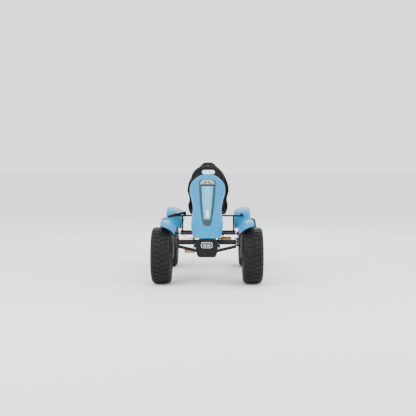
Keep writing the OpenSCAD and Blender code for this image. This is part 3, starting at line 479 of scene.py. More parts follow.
class Body:
    """A mesh under construction."""

    def __init__(self) -> None:
        """Starts an empty mesh."""
        self.bm = bmesh.new()

    def points(self, places: Sequence[Point]) -> list[bmesh.types.BMVert]:
        """Adds vertices at the places."""
        return [self.bm.verts.new(p) for p in places]

    def skin(self, rings: Sequence[Sequence[bmesh.types.BMVert]], around: bool = True) -> None:
        """Joins neighbouring rings with faces.

        Args:
            rings: rows of vertices of the same length.
            around: whether each row closes on itself.
        """
        count = len(rings[0])
        for low, high in zip(rings, rings[1:]):
            for k in range(count if around else count - 1):
                n = (k + 1) % count
                self.bm.faces.new((low[k], low[n], high[n], high[k]))

    def prism(self, outlines: Sequence[Sequence[Point]]) -> None:
        """Adds a solid through closed outlines of the same length."""
        rings = [self.points(outline) for outline in outlines]
        self.skin(rings)
        self.bm.faces.new(rings[0][::-1])
        self.bm.faces.new(rings[-1])

    def box(self, low: Point, high: Point) -> None:
        """Adds a box between two corners."""
        (x0, y0, z0), (x1, y1, z1) = low, high
        floor = [(x0, y0), (x1, y0), (x1, y1), (x0, y1)]
        self.prism([[(x, y, z) for x, y in floor] for z in (z0, z1)])

    def tube(self, path: Sequence[Vector], radius: float | Sequence[float], sides: int = 16) -> None:
        """Adds a capped round bar along a path; radius may change at each point."""
        radii = [radius] * len(path) if isinstance(radius, (int, float)) else list(radius)
        across = vec(0.31, 0.22, 0.92)
        outlines = []
        for i, place in enumerate(path):
            ahead = (path[min(i + 1, len(path) - 1)] - path[max(i - 1, 0)]).normalized()
            across = (across - ahead * across.dot(ahead)).normalized()
            other = ahead.cross(across)
            outlines.append([
                place + radii[i] * (math.cos(a) * across + math.sin(a) * other)
                for a in (math.tau * k / sides for k in range(sides))
            ])
        self.prism(outlines)

    def turned(self, profile: Sequence[tuple[float, float]], centre: Point, axis: Vector, sides: int = 48,
               closed: bool = True) -> None:
        """Adds a turned solid.

        Args:
            profile: (radius, offset along the axis) in order; closed profiles don't reach the axis.
            centre: where offset 0 lies on the axis.
            axis: unit vector of the axis.
            sides: steps round the axis.
            closed: whether the profile is a closed loop.
        """
        across = axis.orthogonal().normalized()
        other = axis.cross(across)
        rings = []
        for k in range(sides):
            a = math.tau * k / sides
            out = math.cos(a) * across + math.sin(a) * other
            rings.append(self.points([Vector(centre) + axis * s + out * r for r, s in profile]))
        count = len(profile)
        for k in range(sides):
            here, there = rings[k], rings[(k + 1) % sides]
            for i in range(count if closed else count - 1):
                n = (i + 1) % count
                self.bm.faces.new((here[i], there[i], there[n], here[n]))
        if not closed:
            self.bm.faces.new([ring[0] for ring in rings])
            self.bm.faces.new([ring[-1] for ring in rings][::-1])

    def bolt(self, centre: Point, axis: Vector, radius: float, height: float, domed: bool = False) -> None:
        """Adds a hexagon head on a washer, or a domed head."""
        r, h = radius, height
        washer = [(r * 1.35, 0.0), (r * 1.35, h * 0.22), (r * 1.25, h * 0.3)]
        if domed:
            self.turned(washer + [(r * 1.1, h * 0.35), (r, h * 0.7), (r * 0.7, h * 0.95), (r * 0.3, h)],
                        centre, axis, 20, closed=False)
        else:
            self.turned(washer, centre, axis, 24, closed=False)
            self.turned([(r, h * 0.25), (r, h * 0.85), (r * 0.85, h), (r * 0.45, h * 0.97)], centre, axis, 6,
                        closed=False)

    def made(self, name: str) -> bpy.types.Object:
        """Closes the mesh and returns it as an object in the scene."""
        bmesh.ops.recalc_face_normals(self.bm, faces=self.bm.faces)
        data = bpy.data.meshes.new(name)
        self.bm.to_mesh(data)
        self.bm.free()
        piece = bpy.data.objects.new(name, data)
        bpy.context.scene.collection.objects.link(piece)
        return piece


class Softening(Enum):
    """How a finished mesh gets its rounded look."""

    NONE = 0
    BEVEL = 1


class Shop:
    """Finishes pieces: softens them, gives them a material and fixes them to the frame."""

    def __init__(self) -> None:
        """Starts with no materials made."""
        self.materials: dict[str, bpy.types.Material] = {}

    def material(self, finish: object) -> bpy.types.Material:
        """The material of a finish, made once."""
        if finish.name not in self.materials:
            self.materials[finish.name] = finish.make()
        return self.materials[finish.name]

    def add(
        self,
        piece: bpy.types.Object,
        body: str,
        finish: object,
        slot: str,
        replaces: Sequence[str] = (),
        softening: Softening = Softening.NONE,
        width: float = 0.001,
        angle: float = 35.0,
    ) -> bpy.types.Object:
        """Dresses a piece and fixes it to a body.

        Args:
            piece: the object.
            body: the CAD body that it moves with.
            finish: what it is finished in.
            slot: the record's slot for that finish; not used.
            replaces: CAD nodes that it stands for.
            softening: how its edges are rounded.
            width: the bevel's width, or unused.
            angle: edges sharper than this many degrees stay sharp or get the bevel.

        Returns:
            The piece.
        """
        piece.data.materials.append(self.material(finish))
        for polygon in piece.data.polygons:
            polygon.use_smooth = True
        if softening is Softening.BEVEL:
            bevel = piece.modifiers.new("edge_rounding", "BEVEL")
            bevel.width = width
            bevel.segments = 2
            bevel.limit_method = "ANGLE"
            bevel.angle_limit = math.radians(angle)
            bevel.harden_normals = True
            bevel.use_clamp_overlap = True
        else:
            piece.data.set_sharp_from_angle(angle=math.radians(angle))
        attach(piece, body)
        if replaces:
            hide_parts(*replaces)
        LOG.info("%s rides on %s", piece.name, body)
        return piece

    def dress(self, node: str, finish: object) -> None:
        """Gives a CAD node a finish and leaves its shape alone."""
        slots = frame["nodes"][node].material_slots
        if not slots:
            frame["nodes"][node].data.materials.append(self.material(finish))
        for holder in slots:
            holder.material = self.material(finish)


@dataclass(frozen=True)
class Extent:
    """The box of one or more CAD nodes at rest."""

    low: Vector
    high: Vector

    @classmethod
    def of(cls, *nodes: str) -> "Extent":
        """The box that holds these nodes."""
        boxes = [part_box(node) for node in nodes]
        low = Vector([min(b[0][i] for b in boxes) for i in range(3)])
        high = Vector([max(b[1][i] for b in boxes) for i in range(3)])
        return cls(low, high)

    @property
    def centre(self) -> Vector:
        """The middle of the box."""
        return (self.low + self.high) / 2

    @property
    def size(self) -> Vector:
        """The box's three sides."""
        return self.high - self.low


def whole_mm(metres: float) -> float:
    """A length from the frame in whole millimetres, free of its mesh's facets."""
    return float(round(metres / MM))


# ---- wheels ------------------------------------------------------------------------------------

AXLE = vec(1, 0, 0)


@dataclass
class Wheel:
    """A pneumatic tyre with tread blocks on a pressed steel rim."""

    end: str
    side: Side
    body: str
    bead_half: float = 61 * MM
    bead_radius: float = 101.5 * MM
    tread_depth: float = 7 * MM
    pitches: int = 34
    hub_radius: float = 25 * MM
    windows: int = 5

    def __post_init__(self) -> None:
        """Reads the tyre's place and size from the frame."""
        extent = Extent.of(self.node("tyre"))
        self.centre = extent.centre
        self.radius = extent.size.z / 2
        self.half = extent.size.x / 2

    def node(self, part: str) -> str:
        """The CAD node of one of the wheel's parts."""
        return f"{self.end}_{part}_{self.side.word}"

    def carcass(self) -> list[tuple[float, float]]:
        """Half of the outer contour, bead to crown, as (share of section, share of half width)."""
        return [
            (0.0, 0.74), (0.075, 0.745), (0.10, 0.80), (0.17, 0.872), (0.19, 0.885), (0.205, 0.905),
            (0.235, 0.912),
            (0.25, 0.91), (0.33, 0.955), (0.42, 0.982), (0.50, 0.995), (0.515, 1.0), (0.54, 1.0),
            (0.555, 0.992),
            (0.64, 0.985), (0.70, 0.972), (0.72, 0.978), (0.745, 0.972), (0.80, 0.935), (0.86, 0.88),
            (0.90, 0.80),
            (0.925, 0.68), (0.94, 0.52), (0.947, 0.34), (0.95, 0.17), (0.95, 0.0),
        ]

    def crown(self, across: float) -> float:
        """Radius of the tread's outer surface at a share of the half width."""
        table = [(0.0, 1.0), (0.35, 0.999), (0.62, 0.985), (0.74, 0.962), (0.84, 0.925), (0.92, 0.86),
                 (0.97, 0.79)]
        share = abs(across)
        for (u0, r0), (u1, r1) in zip(table, table[1:]):
            if share <= u1:
                section = mix(r0, r1, (share - u0) / (u1 - u0))
                return self.bead_radius + (self.radius - self.bead_radius) * section
        return self.bead_radius + (self.radius - self.bead_radius) * table[-1][1]

    def block(self, body: Body, outline: Sequence[tuple[float, float]], depth: float) -> None:
        """Adds one tread block.

        Args:
            body: the mesh that it goes in.
            outline: corners as (share of half width, angle).
            depth: how far it stands out of the carcass.
        """
        mid_u = sum(u for u, _ in outline) / len(outline)
        mid_a = sum(a for _, a in outline) / len(outline)

        def ring(grow: float, drop: float) -> list[Vector]:
            """The outline grown about its middle and sunk below the crown."""
            places = []
            for u, a in outline:
                u, a = mid_u + (u - mid_u) * grow, mid_a + (a - mid_a) * grow
                r = self.crown(u) - drop
                places.append(self.centre + vec(u * self.half, r * math.sin(a), r * math.cos(a)))
            return places

        body.prism([ring(1.06, depth + 2 * MM), ring(1.0, 0.8 * MM), ring(0.94, 0.0)])

    def tread(self, body: Body) -> None:
        """Adds every tread block: split middle ribs, two rows of slanted blocks and shoulder lugs."""
        step = math.tau / self.pitches
        rows = (
            (0.015, 0.135, 0.10, 0.00, 0.86, 0.94, 1.0),
            (0.165, 0.400, 0.34, 0.12, 0.92, 1.16, 1.0),
            (0.430, 0.640, 0.20, 0.42, 1.26, 1.02, 1.0),
            (0.670, 0.845, 0.46, 0.60, 1.44, 1.30, 0.85),
            (0.870, 0.960, 0.66, 0.72, 1.30, 1.24, 0.5),
        )
        for k in range(self.pitches):
            a = k * step
            for s in (-1, 1):
                shift = 0.0 if s > 0 else 0.5 * step
                for u0, u1, low0, low1, high1, high0, depth in rows:
                    self.block(body, [(s * u0, a + shift + low0 * step), (s * u1, a + shift + low1 * step),
                                      (s * u1, a + shift + high1 * step), (s * u0, a + shift + high0 * step)],
                               self.tread_depth * depth)

    def tyre(self, shop: Shop) -> None:
        """Makes the tyre: carcass, sidewall rings and tread."""
        body = Body()
        half = [(self.bead_radius + (self.radius - self.bead_radius) * r, self.half * u) for r,
                u in self.carcass()]
        inner = [(self.bead_radius + (self.radius - self.bead_radius) * r, self.half * u)
                 for r, u in ((0.88, 0.0), (0.86, 0.5), (0.75, 0.8), (0.5, 0.88), (0.2, 0.78), (0.08, 0.66),
                              (0.0, 0.63))]
        outer_loop = half + [(r, -x) for r, x in half[-2::-1]]
        inner_loop = [(r, -x) for r, x in inner[::-1]] + inner[1:]
        body.turned(outer_loop + inner_loop, self.centre, AXLE, self.pitches * 4)
        self.tread(body)
        shop.add(body.made(self.node("tyre") + "_rubber"), self.body, TYRE, "tyre_rubber",
                 [self.node("tyre")], angle=32.0)

    def rim(self, shop: Shop) -> None:
        """Makes the rim: barrel with rolled flanges, hub tube and valve."""
        body = Body()
        r0, b = self.bead_radius, self.bead_half
        out = self.side.value
        barrel = [
            (r0 + 7 * MM, b + 3.5 * MM), (r0 + 9 * MM, b + 2 * MM), (r0 + 8.5 * MM, b + 0.2 * MM),
            (r0 + 1 * MM, b),
            (r0, b - 4 * MM), (r0, 38 * MM), (r0 - 4 * MM, 33 * MM), (r0 - 13 * MM, 29 * MM),
            (r0 - 14 * MM, 26 * MM)]
        lining = [
            (r0 - 17 * MM, 26 * MM), (r0 - 16 * MM, 30 * MM), (r0 - 7 * MM, 35 * MM), (r0 - 3 * MM, 40 * MM),
            (r0 - 3 * MM, b - 4 * MM), (r0 - 1.5 * MM, b + 2.2 * MM), (r0 + 5 * MM, b + 3.4 * MM)]
        loop = barrel + [(r, -x) for r, x in barrel[::-1]] + [(r, -x) for r, x in lining[::-1]] + lining
        body.turned(loop, self.centre, AXLE, 96)
        body.turned([(13 * MM, -42 * MM), (self.hub_radius - 1 * MM, -42 * MM), (self.hub_radius, -41 * MM),
                     (self.hub_radius, 41 * MM), (self.hub_radius - 1 * MM, 42 * MM), (13 * MM, 42 * MM)],
                    self.centre, AXLE, 40)
        valve = self.centre + vec(out * 34 * MM, 0, 0)
        base = valve + vec(0, 0.76 * r0, 0)
        body.tube([base, base + vec(out * 16 * MM, -3 * MM, 0), base + vec(out * 24 * MM, -4 * MM, 0)],
                  [5 * MM, 3.6 * MM, 3.2 * MM], 14)
        shop.add(body.made(self.node("rim") + "_steel"), self.body, RIM, "rim_paint", [self.node("rim")],
                 angle=38.0)

    def disc(self, shop: Shop) -> None:
        """Makes the dished wheel disc with a row of round windows that have rolled edges."""
        out = self.side.value
        inner, outer, hole, middle = self.hub_radius - 1 * MM, self.bead_radius - 15 * MM, 15 * MM, 58 * MM
        sector = math.tau / self.windows
        body = Body()
        for k in range(self.windows):
            turn = k * sector
            edge = [(inner, mix(-0.5, 0.5, i / 12) * sector) for i in range(12)]
            edge += [(mix(inner, outer, i / 12), 0.5 * sector) for i in range(12)]
            edge += [(outer, mix(0.5, -0.5, i / 12) * sector) for i in range(12)]
            edge += [(mix(outer, inner, i / 12), -0.5 * sector) for i in range(12)]
            centre = Vector((middle, 0.0))
            rows = []
            for share in (0.0, 0.06, 0.14, 0.30, 0.6, 1.0):
                row = []
                for r, a in edge:
                    rim_point = Vector((r * math.cos(a), r * math.sin(a)))
                    near = centre + (rim_point - centre).normalized() * hole
                    place = near.lerp(rim_point, share)
                    radius, angle = place.length, math.atan2(place.y, place.x) + turn
                    dish = 11 * MM + 8 * MM * math.cos((radius - inner) / (outer - inner) * math.tau) * 0.8
                    roll = 4 * MM * math.exp(-((share / 0.11) ** 2)) - 2.5 * MM * math.exp(-(((share - 0.2)
                                                                                              / 0.1) ** 2))
                    row.append(self.centre
                               + vec(out * (dish + roll), radius * math.sin(angle), radius * math.cos(angle)))
                rows.append(body.points(row))
            body.skin(rows)
        bmesh.ops.remove_doubles(body.bm, verts=body.bm.verts, dist=0.05 * MM)
        bmesh.ops.recalc_face_normals(body.bm, faces=body.bm.faces)
        bmesh.ops.solidify(body.bm, geom=body.bm.faces[:], thickness=3 * MM)
        for k in range(self.windows):
            a = (k + 0.5) * sector
            at = self.centre + vec(out * 19.5 * MM, 33 * MM * math.sin(a), 33 * MM * math.cos(a))
            body.bolt(at, AXLE * out, 4.6 * MM, 5 * MM)
        shop.add(body.made(self.node("rim") + "_disc"), self.body, RIM, "rim_paint", angle=50.0)

    def build(self, shop: Shop) -> None:
        """Makes the whole wheel."""
        self.tyre(shop)
        self.rim(shop)
        self.disc(shop)
        shop.dress(self.node("hub_cap"), BLACK)


# ---- shells ------------------------------------------------------------------------------------


def looked_up(rows: Sequence[Sequence[float]], key: int, value: float) -> list[float]:
    """A row of a smooth curve through the rows, where the key column has the value.

    Args:
        rows: rows whose key column rises.
        key: number of that column.
        value: what the key column has in the result, held inside the rows' range.

    Returns:
        Every column at that place.
    """
    last = len(rows) - 1
    value = min(max(value, rows[0][key]), rows[last][key])
    i = max(k for k in range(last) if k == 0 or rows[k][key] <= value)
    low, high = rows[i], rows[i + 1]
    before, after = rows[max(i - 1, 0)], rows[min(i + 2, last)]
    width = high[key] - low[key]
    t = (value - low[key]) / width
    out = []
    for a, b, c, d in zip(before, low, high, after):
        leaving = (c - a) / (high[key] - before[key]) * width
        arriving = (d - b) / (after[key] - low[key]) * width
        out.append((2 * t**3 - 3 * t**2 + 1) * b + (t**3 - 2 * t**2 + t) * leaving
                   + (3 * t**2 - 2 * t**3) * c + (t**3 - t**2) * arriving)
    return out


def shell(body: Body, outer: Sequence[Sequence[Vector]], inner: Sequence[Sequence[Vector]]) -> None:
    """Adds a closed shell between two grids of the same size.

    Args:
        body: the mesh that it goes in.
        outer: the rows of the outer skin.
        inner: the rows of the inner skin.
    """
    rings = [body.points(list(o) + list(i)[::-1]) for o, i in zip(outer, inner)]
    body.skin(rings)
    half = len(outer[0])
    for ring in (rings[0], rings[-1]):
        for k in range(half - 1):
            body.bm.faces.new((ring[k], ring[k + 1], ring[-k - 2], ring[-k - 1]))


@dataclass(frozen=True)
class NoseShape:
    """The outer form of the hood over the steering column, in millimetres."""

    front_y: float = field(default_factory=lambda: whole_mm(Extent.of("front_tyre_left").centre.y))
    rows: tuple[tuple[float, ...], ...] = (
        (245, 393, 108, 70, 0), (202, 440, 120, 85, 8), (150, 505, 130, 92, 16), (70, 585, 124, 95, 26),
        (-10, 660, 118, 95, 34), (-85, 728, 130, 95, 40), (-155, 795, 148, 90, 43), (-205, 838, 142, 60, 44),
        (-245, 868, 100, 30, 45), (-268, 884, 52, 9, 45), (-274, 888, 20, 8, 45),
    )

    def point(self, row: Sequence[float], q: float, sunk: float) -> Vector:
        """A point on the skin.

        Args:
            row: reach ahead, height, half width, depth and tilt.
            q: place round the section, a quarter turn at each side.
            sunk: how far inside the outer skin.

        Returns:
            The point in metres.
        """
        reach, z, half, depth, tilt = row
        tilt = math.radians(tilt)
        back = sunk + (depth - sunk) * (1 - math.cos(q)) ** 1.3
        return vec((half - sunk) * math.sin(q), self.front_y - reach + math.cos(tilt) * back,
                   z - math.sin(tilt) * back) * MM

    def on_skin(self, x: float, z: float, lift: float) -> Vector:
        """The point on the skin at an offset and height, lifted off it."""
        row = looked_up(self.rows, 1, z)
        tilt = math.radians(row[4])
        place = self.point(row, math.asin(max(-1.0, min(1.0, x / row[2]))), 0.0)
        return place + lift * MM * vec(0, -math.cos(tilt), math.sin(tilt))


@dataclass
class Nose:
    """The sky-blue hood with its panel, insert, emblem field and marks."""

    shape: NoseShape = field(default_factory=NoseShape)
    wall: float = 4.0
    panel: tuple[tuple[float, float], ...] = (
        (485, 14), (489, 24), (505, 34), (550, 44), (620, 55), (690, 62), (760, 67), (815, 70), (833, 66),
        (841, 56),
        (844, 42))
    insert: tuple[tuple[float, float], ...] = ((532, 25), (590, 32), (660, 39), (720, 43.5), (786, 48))

    def hood(self, shop: Shop) -> None:
        """Makes the hood with a shallow groove near its rim and the groove round the panel."""
        count = 28
        bottom, top = self.shape.rows[0][1], self.shape.rows[-1][1]
        steps = 84
        rows = [looked_up(self.shape.rows, 1, top - (top - bottom) * (1 - s / steps) ** 1.15)
                for s in range(steps + 1)]

        def sink(row: Sequence[float], q: float) -> float:
            """How far the skin dips at a place: a groove by the panel and a shadow line near the rim."""
            x = abs(row[2] * math.sin(q))
            edge = looked_up(self.panel, 0, row[1])[1] if 485 < row[1] < 840 else -50.0
            groove = 1.6 * math.exp(-(((x - edge - 3.5) / 2.2) ** 2))
            rim = 1.2 * math.exp(-(((abs(q) - 1.40) / 0.03) ** 2))
            return groove + rim

        qs = [math.pi / 2 * math.copysign(abs(j / count) ** 0.92, j) for j in range(-count, count + 1)]
        outer = [[self.shape.point(r, q, 0.02 + sink(r, q)) for q in qs] for r in rows]
        inner = [[self.shape.point(r, q, self.wall) for q in qs] for r in rows]
        body = Body()
        shell(body, outer, inner)
        piece = body.made("nose_hood")
        shop.add(piece, "frame", SKY, "sky_plastic", ["nose_cone"], angle=50.0)

    def strip(self, rows: Sequence[tuple[float, float]], low: float, high: float, crown: float,
              rounding: float,
              name: str) -> bpy.types.Object:
        """A strip that lies on the hood.

        Args:
            rows: height and half width from the bottom up.
            low: lift of its back off the hood.
            high: lift of its face.
            crown: extra lift taken off towards the edges.
            rounding: how wide the rounded edge is.
            name: name of the piece.

        Returns:
            The object.
        """
        across = 14
        z0, z1 = rows[0][0], rows[-1][0]
        steps = max(10, int((z1 - z0) / 6))
        outer, inner = [], []
        for s in range(steps + 1):
            z = mix(z0, z1, s / steps)
            half = looked_up(rows, 0, z)[1]
            end = min(z - z0, z1 - z)
            front, back = [], []
            for j in range(-across, across + 1):
                x = half * math.sin(math.pi / 2 * j / across)
                margin = min(half - abs(x), end)
                edge = min(1.0, margin / rounding)
                round_off = 1 - math.sqrt(max(0.0, 1 - (1 - edge) ** 2))
                lift = high - crown * (abs(x) / half) ** 2 - (high - low) * 0.8 * round_off
                front.append(self.shape.on_skin(x, z, max(lift, low + 0.15)))
                back.append(self.shape.on_skin(x, z, low))
            outer.append(front)
            inner.append(back)
        body = Body()
        shell(body, outer, inner)
        return body.made(name)

    def trim(self, shop: Shop) -> None:
        """Makes the panel, its arched field, the dark band, the insert and the pale marks."""
        shop.add(self.strip(self.panel, 0.3, 6.0, 0.6, 5.0, "nose_panel_face"), "frame", PANEL,
                 "panel_plastic",
                 ["nose_panel"], angle=60.0)
        shop.add(self.strip(self.insert, 5.6, 8.8, 0.5, 3.0, "nose_insert"), "frame", PALE, "sky_plastic",
                 angle=60.0)
        band = [(789, 52), (792, 54), (796, 55), (799, 54)]
        shop.add(self.strip(band, 5.3, 7.4, 0.3, 2.0, "nose_band"), "frame", BLACK, "black_plastic",
                 angle=60.0)
        arch = [(801, 55), (812, 57), (822, 53), (831, 43), (836, 26)]
        shop.add(self.strip(arch, 5.2, 7.0, 0.6, 2.0, "nose_emblem_field"), "frame", SILVER, "zinc",
                 angle=60.0)
        self.emblem(shop)
        self.marks(shop)

    def emblem(self, shop: Shop) -> None:
        """Makes a plain winged bar inside the arched field."""
        body = Body()
        for level, half, tall in ((808, 44, 1.6), (814.5, 36, 1.6), (821, 26, 1.6), (827, 14, 1.4)):
            for s in (-1, 1):
                skins = ([[self.shape.on_skin(s * mix(4, half, i / 8), level + d - 1.2 * i / 8, lift)
                           for i in range(9)]
                          for d in (-tall, tall)] for lift in (7.9, 5.6))
                shell(body, *skins)
        shop.add(body.made("nose_emblem_bars"), "frame", PANEL, "panel_plastic", angle=50.0)

    def marks(self, shop: Shop) -> None:
        """Makes a column of plain dashes and a bar on the insert."""
        dashes = [(s * 9.0, mix(770, 632, i / 10), 5.6, 3.6) for i in range(11) for s in (-1, 1)]
        for name, plan, finish in (("nose_insert_dashes", dashes, FAINT),
                                   ("nose_insert_bar", [(4.5, 574.0, 9.5, 27.0)], WHITE)):
            body = Body()
            for x, z, half, tall in plan:
                skins = ([[self.shape.on_skin(x + mix(-half, half, i / 4), z + mix(-tall, tall, k / 4), lift)
                           for i in range(5)] for k in range(5)] for lift in (9.1, 8.0))
                shell(body, *skins)
            shop.add(body.made(name), "frame", finish, "panel_plastic", angle=50.0)

    def build(self, shop: Shop) -> None:
        """Makes the whole nose."""
        self.hood(shop)
        self.trim(shop)


@dataclass
class Cover:
    """The black cover below the nose with a plain badge and two bolts."""

    outline: tuple[tuple[float, float], ...] = (
        (62, 388), (80, 372), (84, 348), (105, 342), (108, 300), (100, 288), (84, 290), (77, 262), (66, 243))

    def __post_init__(self) -> None:
        """Reads how far ahead the badge lies from the frame."""
        self.tip_y = whole_mm(Extent.of("front_cover").low.y)

    def rounded(self, inset: float) -> list[tuple[float, float]]:
        """The closed outline with softened corners, moved inwards."""
        half = list(self.outline)
        corners = half + [(-x, z) for x, z in half[::-1]]
        middle = Vector((0.0, 315.0))
        out = []
        count = len(corners)
        for i in range(count):
            before, here, after = (Vector(corners[(i + d) % count]) for d in (-1, 0, 1))
            reach = min(8.0, 0.4 * (before - here).length, 0.4 * (after - here).length)
            start = here + (before - here).normalized() * reach
            stop = here + (after - here).normalized() * reach
            for t in (0.0, 0.33, 0.67, 1.0):
                p = start * (1 - t) ** 2 + here * 2 * t * (1 - t) + stop * t**2
                q = p + (middle - p).normalized() * inset
                out.append((q.x, q.y))
        return out

    def build(self, shop: Shop) -> None:
        """Makes the shell, its raised frame, the badge and the bolts."""
        body = Body()

        def ring(inset: float, y: float) -> list[Vector]:
            """The outline at an inset and depth."""
            return [vec(x, y, z) * MM for x, z in self.rounded(inset)]

        y = self.tip_y
        rings = [ring(0.3, y + 39.5), ring(0.3, y + 12), ring(1.2, y + 8.2), ring(3.4, y + 6.3),
                 ring(8, y + 6.2),
                 ring(9.5, y + 8.0), ring(13, y + 8.2), ring(16, y + 6.8), ring(30, y + 6.6)]
        front = [body.points(r) for r in rings]
        body.skin(front)
        body.bm.faces.new(front[-1])
        back = [body.points(ring(4.3, y + 39.5)), body.points(ring(4.3, y + 13)),
                body.points(ring(18, y + 11))]
        body.skin(back)
        body.bm.faces.new(back[-1])
        body.skin([front[0], back[0]])
        shop.add(body.made("front_cover_shell"), "frame", BLACK, "black_plastic", ["front_cover"], angle=60.0)
        self.badge(shop)
        bolts = Body()
        for s in (-1, 1):
            bolts.turned([(8.8 * MM, 0.0), (8.8 * MM, 2.2 * MM), (7.4 * MM, 3.6 * MM), (4.2 * MM, 3.8 * MM),
                          (4 * MM, 2.4 * MM)],
                         vec(s * 93, y + 6.0, 316) * MM, vec(0, -1, 0), 28, closed=False)
        shop.add(bolts.made("front_cover_bolts"), "frame", ZINC, "zinc", angle=40.0)

    def badge(self, shop: Shop) -> None:
        """Makes a silver badge with a rounded frame, a dark field and two plain bars."""
        def pad(half: float, low: float, high: float, y: float) -> list[Vector]:
            """A rounded rectangle whose top bows up a little."""
            out = []
            corners = ((half, high, 0.0), (-half, high, 90.0), (-half, low, 180.0), (half, low, 270.0))
            r = (high - low) * 0.42
            for x, z, start in corners:
                cx, cz = x - math.copysign(r, x), z + (r if z == low else -r)
                for k in range(11):
                    a = math.radians(start + 9 * k)
                    px = cx + r * math.cos(a)
                    pz = cz + r * math.sin(a) + (3.0 * math.cos(px / half * 1.4) if z == high else 0.0) - 2.4
                    out.append(vec(px, y, pz) * MM)
            return out

        y = self.tip_y
        frame_piece = Body()
        rings = [pad(46.5, 318.6, 364.6, y + 6.5), pad(46.5, 318.6, 364.6, y + 3.0),
                 pad(45.0, 320, 363.2, y + 1.0),
                 pad(43, 322, 361.2, y + 0.4), pad(41, 324, 359, y + 1.2), pad(40, 325, 358, y + 3.0)]
        frame_piece.prism(rings)
        shop.add(frame_piece.made("badge_frame"), "frame", SILVER, "zinc", angle=50.0)
        field_piece = Body()
        field_piece.prism([pad(40.5, 324.5, 358.5, y + 3.6), pad(40.5, 324.5, 358.5, y + 2.4),
                           pad(38.5, 326, 357, y + 1.9)])
        shop.add(field_piece.made("badge_field"), "frame", BLACK, "black_plastic", angle=50.0)
        bars = Body()
        for z, half in ((348.0, 27.0), (339.5, 33.0), (331.0, 27.0)):
            for s in (-1, 1):
                bars.box(vec(min(3 * s, half * s), y + 0.6, z - 2.1) * MM,
                         vec(max(3 * s, half * s), y + 2.6, z + 2.1) * MM)
        shop.add(bars.made("badge_bars"), "frame", SILVER, "zinc", softening=Softening.BEVEL, width=0.0004)


@dataclass
class Fender:
    """A moulded mudguard with rolled edges and a shallow groove near each end."""

    end: str
    body: str
    side: Side
    line: tuple[tuple[float, float], ...]
    start: float
    stop: float
    slant: float = 0.0
    wall: float = 4.0
    lip: float = 1.7
    groove: float = 1.0
    groove_place: float = 5.5

    def __post_init__(self) -> None:
        """Reads the wheel that it covers from the frame, in millimetres."""
        wheel = Extent.of(f"{self.end}_tyre_left")
        self.axle_y = whole_mm(wheel.centre.y)
        self.tyre_in = whole_mm(wheel.low.x)
        self.wheel_r = whole_mm(wheel.high.z / 2)

    def section(self) -> list[Vector]:
        """The smooth section from the outer edge to the inner skirt, in millimetres."""
        corners = [Vector((self.tyre_in + off, self.wheel_r + up, 0.0)) for off, up in self.line]
        out: list[Vector] = [corners[0]]
        for a, b, c in zip(corners, corners[1:], corners[2:]):
            reach = min(9.0, 0.42 * (b - a).length, 0.42 * (c - b).length)
            first, last = b + (a - b).normalized() * reach, b + (c - b).normalized() * reach
            out += [first * (1 - t) ** 2 + b * 2 * t * (1 - t) + last * t**2
                    for t in (0.0, 0.25, 0.5, 0.75, 1.0)]
        return out + [corners[-1]]

    def build(self, shop: Shop) -> None:
        """Makes the fender's shell."""
        line = self.section()
        normals = []
        for i, _ in enumerate(line):
            d = (line[min(i + 1, len(line) - 1)] - line[max(i - 1, 0)]).normalized()
            normals.append(Vector((d.y, -d.x, 0.0)))
        if sum(n.dot(p - Vector((self.tyre_in + 40, self.wheel_r, 0))) for n, p in zip(normals, line)) > 0:
            normals = [-n for n in normals]
        total = len(line) - 1
        steps = int((self.stop - self.start) / 1.6)
        outer, inner = [], []
        for s in range(steps + 1):
            share = s / steps
            end = min(share, 1 - share) * (self.stop - self.start)
            dip = self.groove * math.exp(-(((end - self.groove_place) / 0.8) ** 2))
            sunk = 0.3 + self.lip * max(0.0, 1 - end / 1.6) ** 2 + dip
            outer.append([])
            inner.append([])
            for i, (p, n) in enumerate(zip(line, normals)):
                a = math.radians(mix(self.start + self.slant * (1 - i / total) ** 2, self.stop, share))
                inset = sunk + (1.3 if i in (0, total) else 0.0)
                for row, depth in ((outer[-1], inset), (inner[-1], self.wall)):
                    q = p + n * depth
                    row.append(vec(self.side.value * q.x, self.axle_y - q.y * math.cos(a),
                                   self.wheel_r + q.y * math.sin(a)) * MM)
        body = Body()
        shell(body, outer, inner)
        node = f"{self.end}_fender_{self.side.word}"
        shop.add(body.made(node + "_shell"), self.body, SKY, "sky_plastic", [node], angle=55.0)


REAR_FENDER = ((107, 52), (106, 84), (96, 99), (60, 104), (20, 96), (-30, 76), (-45, 58))
FRONT_FENDER = ((92, 46), (86, 57), (74, 62), (58, 63), (38, 58), (14, 47), (-9, 26), (-32, 0))


# ---- seat and steering wheel -------------------------------------------------------------------


